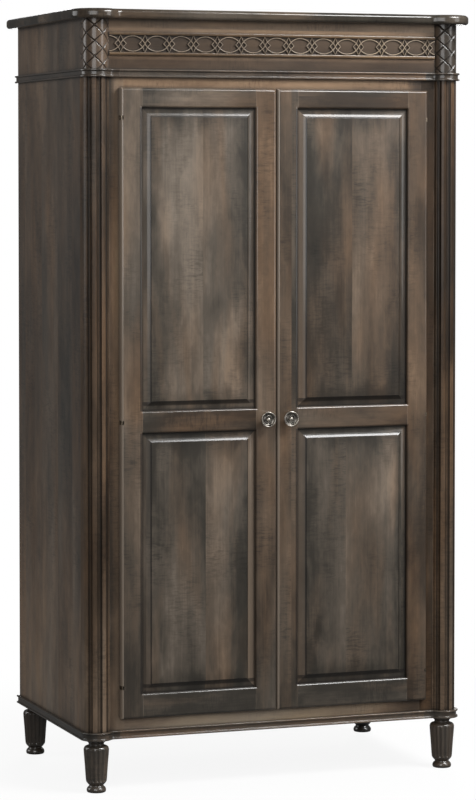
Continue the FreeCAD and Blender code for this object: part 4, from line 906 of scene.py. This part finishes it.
# Knobs: turned in aged nickel, with a ring round a dished face, on a short neck. A screw from behind the
# stile holds each, and dark wax is left in the dish.
KNOB_OUTLINE = [Vector(place) for place in (
    (0.0105, 0.0), (0.0107, 0.0012), (0.0075, 0.0032), (0.0062, 0.008), (0.009, 0.0128), (0.0162, 0.0168),
    (0.0195, 0.0194), (0.0199, 0.0212), (0.019, 0.0227), (0.0177, 0.0224), (0.0166, 0.02), (0.0146, 0.0172),
    (0.0122, 0.0164), (0.011, 0.0182), (0.0098, 0.0184), (0.0086, 0.0164), (0.0064, 0.016), (0.0052, 0.0186),
    (0.0032, 0.022), (0.0, 0.0232))]
KNOB_POINTS, KNOB_STEPS = 64, 5
DISH_INNER, DISH_OUTER = 0.0054, 0.0172
WAX_EDGE, WAX_STRENGTH = 0.0009, 0.55
half_dish = (DISH_OUTER - DISH_INNER) / 2
for side in SIDES:
    low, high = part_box(f"{side}_door_knob")
    middle = (low + high) / 2
    nickel = plated(f"{side}_aged_nickel", "#c6c0b7", "#221e1b", 0.28)
    tree = nickel.node_tree
    from_axis = vector_maths(tree, "SUBTRACT", spot_on(tree), middle)
    from_axis = vector_maths(tree, "MULTIPLY", from_axis, (1, 0, 1))
    from_axis = put(tree, "ShaderNodeVectorMath", {"operation": "LENGTH"}, Vector=from_axis)
    from_dish = apart(tree, from_axis.outputs["Value"], (DISH_INNER + DISH_OUTER) / 2)
    lay_glaze_and_painted_light(nickel, spread(tree, from_dish, half_dish, half_dish - WAX_EDGE, 0.0, WAX_STRENGTH))
    turns = [2 * math.pi * step / KNOB_POINTS for step in range(KNOB_POINTS)]
    rings = []
    for radius, out in faired(KNOB_OUTLINE, KNOB_STEPS):
        rings.append([(middle.x + radius * math.cos(turn), high.y - out, middle.z + radius * math.sin(turn))
                      for turn in turns])
    knob = skin(f"{side}_ring_knob", rings)
    finish(knob, nickel)
    fixed(knob, f"{side}_door", "aged_nickel", f"{side}_door_knob")

# Hinges: three bronzed pivot hinges to a door, each with a leaf let into the door and one into the frame,
# on a pin just inside the door's outer front corner. Countersunk steel screws hold the leaves, and the
# knobs' screws and the catch plates are of the same steel.
BRONZE = plated("hinge_bronze", "#8a7f70", "#2b2622", 0.32)
STEEL = plated("screw_steel", "#a5a5a3", "#3f3d3a", 0.32)
for node in ("hinge_frame_leaves", "hinge_pins", "left_door_hinge_leaves", "right_door_hinge_leaves"):
    finish(nodes[node], BRONZE)
finish(nodes["hinge_frame_screws"], STEEL)
for side in SIDES:
    for part in ("hinge_screws", "knob_screw", "catch_plate"):
        finish(nodes[f"{side}_door_{part}"], STEEL)

# Catches: brown moulded plastic cases with a magnet in them, one to a door, fixed up under the ceiling
# board. Each draws the steel plate on the back of its door.
catch_plastic, tree, shader = new_finish("catch_plastic")
speckle = noise(tree, spot_on(tree), (900, 900, 900), 2)
shade = noise(tree, spot_on(tree), (60, 60, 60), 3)
feed(tree, shader.inputs["Base Color"], ramp(tree, shade, ((0.3, "#2a211a"), (0.7, "#3a2e25"))))
feed(tree, shader.inputs["Roughness"], spread(tree, shade, 0.3, 0.7, 0.42, 0.58))
bump = put(tree, "ShaderNodeBump", Height=speckle, Strength=0.2, Distance=0.0002)
feed(tree, shader.inputs["Normal"], bump.outputs[0])
finish(nodes["door_catches"], catch_plastic)

# Floor and studio: a plain pale floor that runs into a white backdrop, lit by five soft boxes. Reflections
# see the white at a tenth of its strength, so that it doesn't veil the lacquer.
FLOOR_REACH = 40.0
FLOOR_CORNERS = [(FLOOR_REACH * x, FLOOR_REACH * y, 0) for x, y in ((-1, -1), (1, -1), (1, 1), (-1, 1))]
FLOOR_PALE, FLOOR_CLOTH = "#e6e6e6", "#6c6c6c"
FLOOR_ROUGHNESS = 0.9
SHADOW_NEAR, SHADOW_FAR, WHITE_NEAR = 0.5, 1.6, 0.9
GLOSS_SEES = 0.1
AMBIENT = 0.12
mesh = bpy.data.meshes.new("studio_floor")
mesh.from_pydata(FLOOR_CORNERS, [], [(0, 1, 2, 3)])
floor = placed("studio_floor", mesh)


def looked_at(tree, glossy, others):
    """1 where the eye looks straight or through glass, and these levels for reflections and for light."""
    seen = put(tree, "ShaderNodeLightPath").outputs
    straight = maths(tree, "ADD", seen["Is Camera Ray"], seen["Is Transmission Ray"], clamp=True)
    level = maths(tree, "MULTIPLY_ADD", straight, 1 - others, others)
    return maths(tree, "MULTIPLY_ADD", seen["Is Glossy Ray"], glossy - others, level, clamp=True)


pale, tree, shader = new_finish("studio_white")
floor_colour = ramp(tree, looked_at(tree, 1.0, 0.0), ((0.0, FLOOR_CLOTH), (1.0, FLOOR_PALE)))
feed(tree, shader.inputs["Base Color"], floor_colour)
shader.inputs["Roughness"].default_value = FLOOR_ROUGHNESS
away = put(tree, "ShaderNodeVectorMath", {"operation": "LENGTH"}, Vector=spot_on(tree))
share = spread(tree, away.outputs["Value"], SHADOW_NEAR, SHADOW_FAR, WHITE_NEAR, 1.0)
white = put(tree, "ShaderNodeEmission", Color=(1, 1, 1, 1), Strength=looked_at(tree, GLOSS_SEES, 0.0))
mixed = put(tree, "ShaderNodeMixShader")
feed(tree, mixed.inputs[0], maths(tree, "MULTIPLY", looked_at(tree, 1.0, 0.0), share))
feed(tree, mixed.inputs[1], shader.outputs[0])
feed(tree, mixed.inputs[2], white.outputs[0])
feed(tree, tree.nodes["Material Output"].inputs["Surface"], mixed.outputs[0])
floor.data.materials.append(pale)

world = bpy.data.worlds.new("studio")
bpy.context.scene.world = world
world.use_nodes = True
tree = world.node_tree
backdrop = tree.nodes["Background"]
backdrop.inputs["Color"].default_value = (1, 1, 1, 1)
feed(tree, backdrop.inputs["Strength"], looked_at(tree, GLOSS_SEES, AMBIENT))


def softbox(name, place, aim, size, power):
    """An oblong area lamp turned to the place that it aims at."""
    lamp = bpy.data.lights.new(name, "AREA")
    lamp.shape = "RECTANGLE"
    lamp.size, lamp.size_y = size
    lamp.energy = power
    made = placed(name, lamp)
    made.location = place
    made.rotation_euler = (Vector(aim) - Vector(place)).to_track_quat("-Z", "Y").to_euler()


softbox("top_softbox", (2.05, -2.3, 3.9), (0.4, -0.3, 1.0), (2.1, 1.2), 220)
softbox("left_softbox", (-2.5, -4.6, 2.6), (0, -0.3, 1.4), (3.0, 3.2), 115)
softbox("right_softbox", (3.4, -3.6, 2.3), (0, -0.3, 1.4), (1.8, 3.0), 58)
softbox("side_softbox", (-4.2, 2.0, 2.2), (-0.5, 0, 1.1), (2.4, 2.6), 55)
softbox("back_softbox", (1.8, 5.0, 2.8), (0, 0.3, 1.1), (2.4, 2.2), 160)

# Camera: a long lens at eye height, round to the left of the wardrobe and dipped a little, as the
# photograph was taken. Its shift puts the picture's middle where the photograph has it.
PHOTO_HEIGHT = 800
SENSOR = 36.0
FOCUS_PIXELS = 3046
AXIS_PIXEL = 300
CAMERA_PLACE = (-2.806, -7.6635, 1.578)
CAMERA_DIP, CAMERA_TURN = 2.34, -20.11
lens = bpy.data.cameras.new("camera")
lens.sensor_width = SENSOR
lens.lens = FOCUS_PIXELS * SENSOR / PHOTO_HEIGHT
lens.shift_y = (AXIS_PIXEL - PHOTO_HEIGHT / 2) / PHOTO_HEIGHT
camera = placed("camera", lens)
camera.location = CAMERA_PLACE
camera.rotation_euler = (math.radians(90 - CAMERA_DIP), 0, math.radians(CAMERA_TURN))
bpy.context.scene.camera = camera
bpy.context.scene.view_settings.view_transform = "Standard"
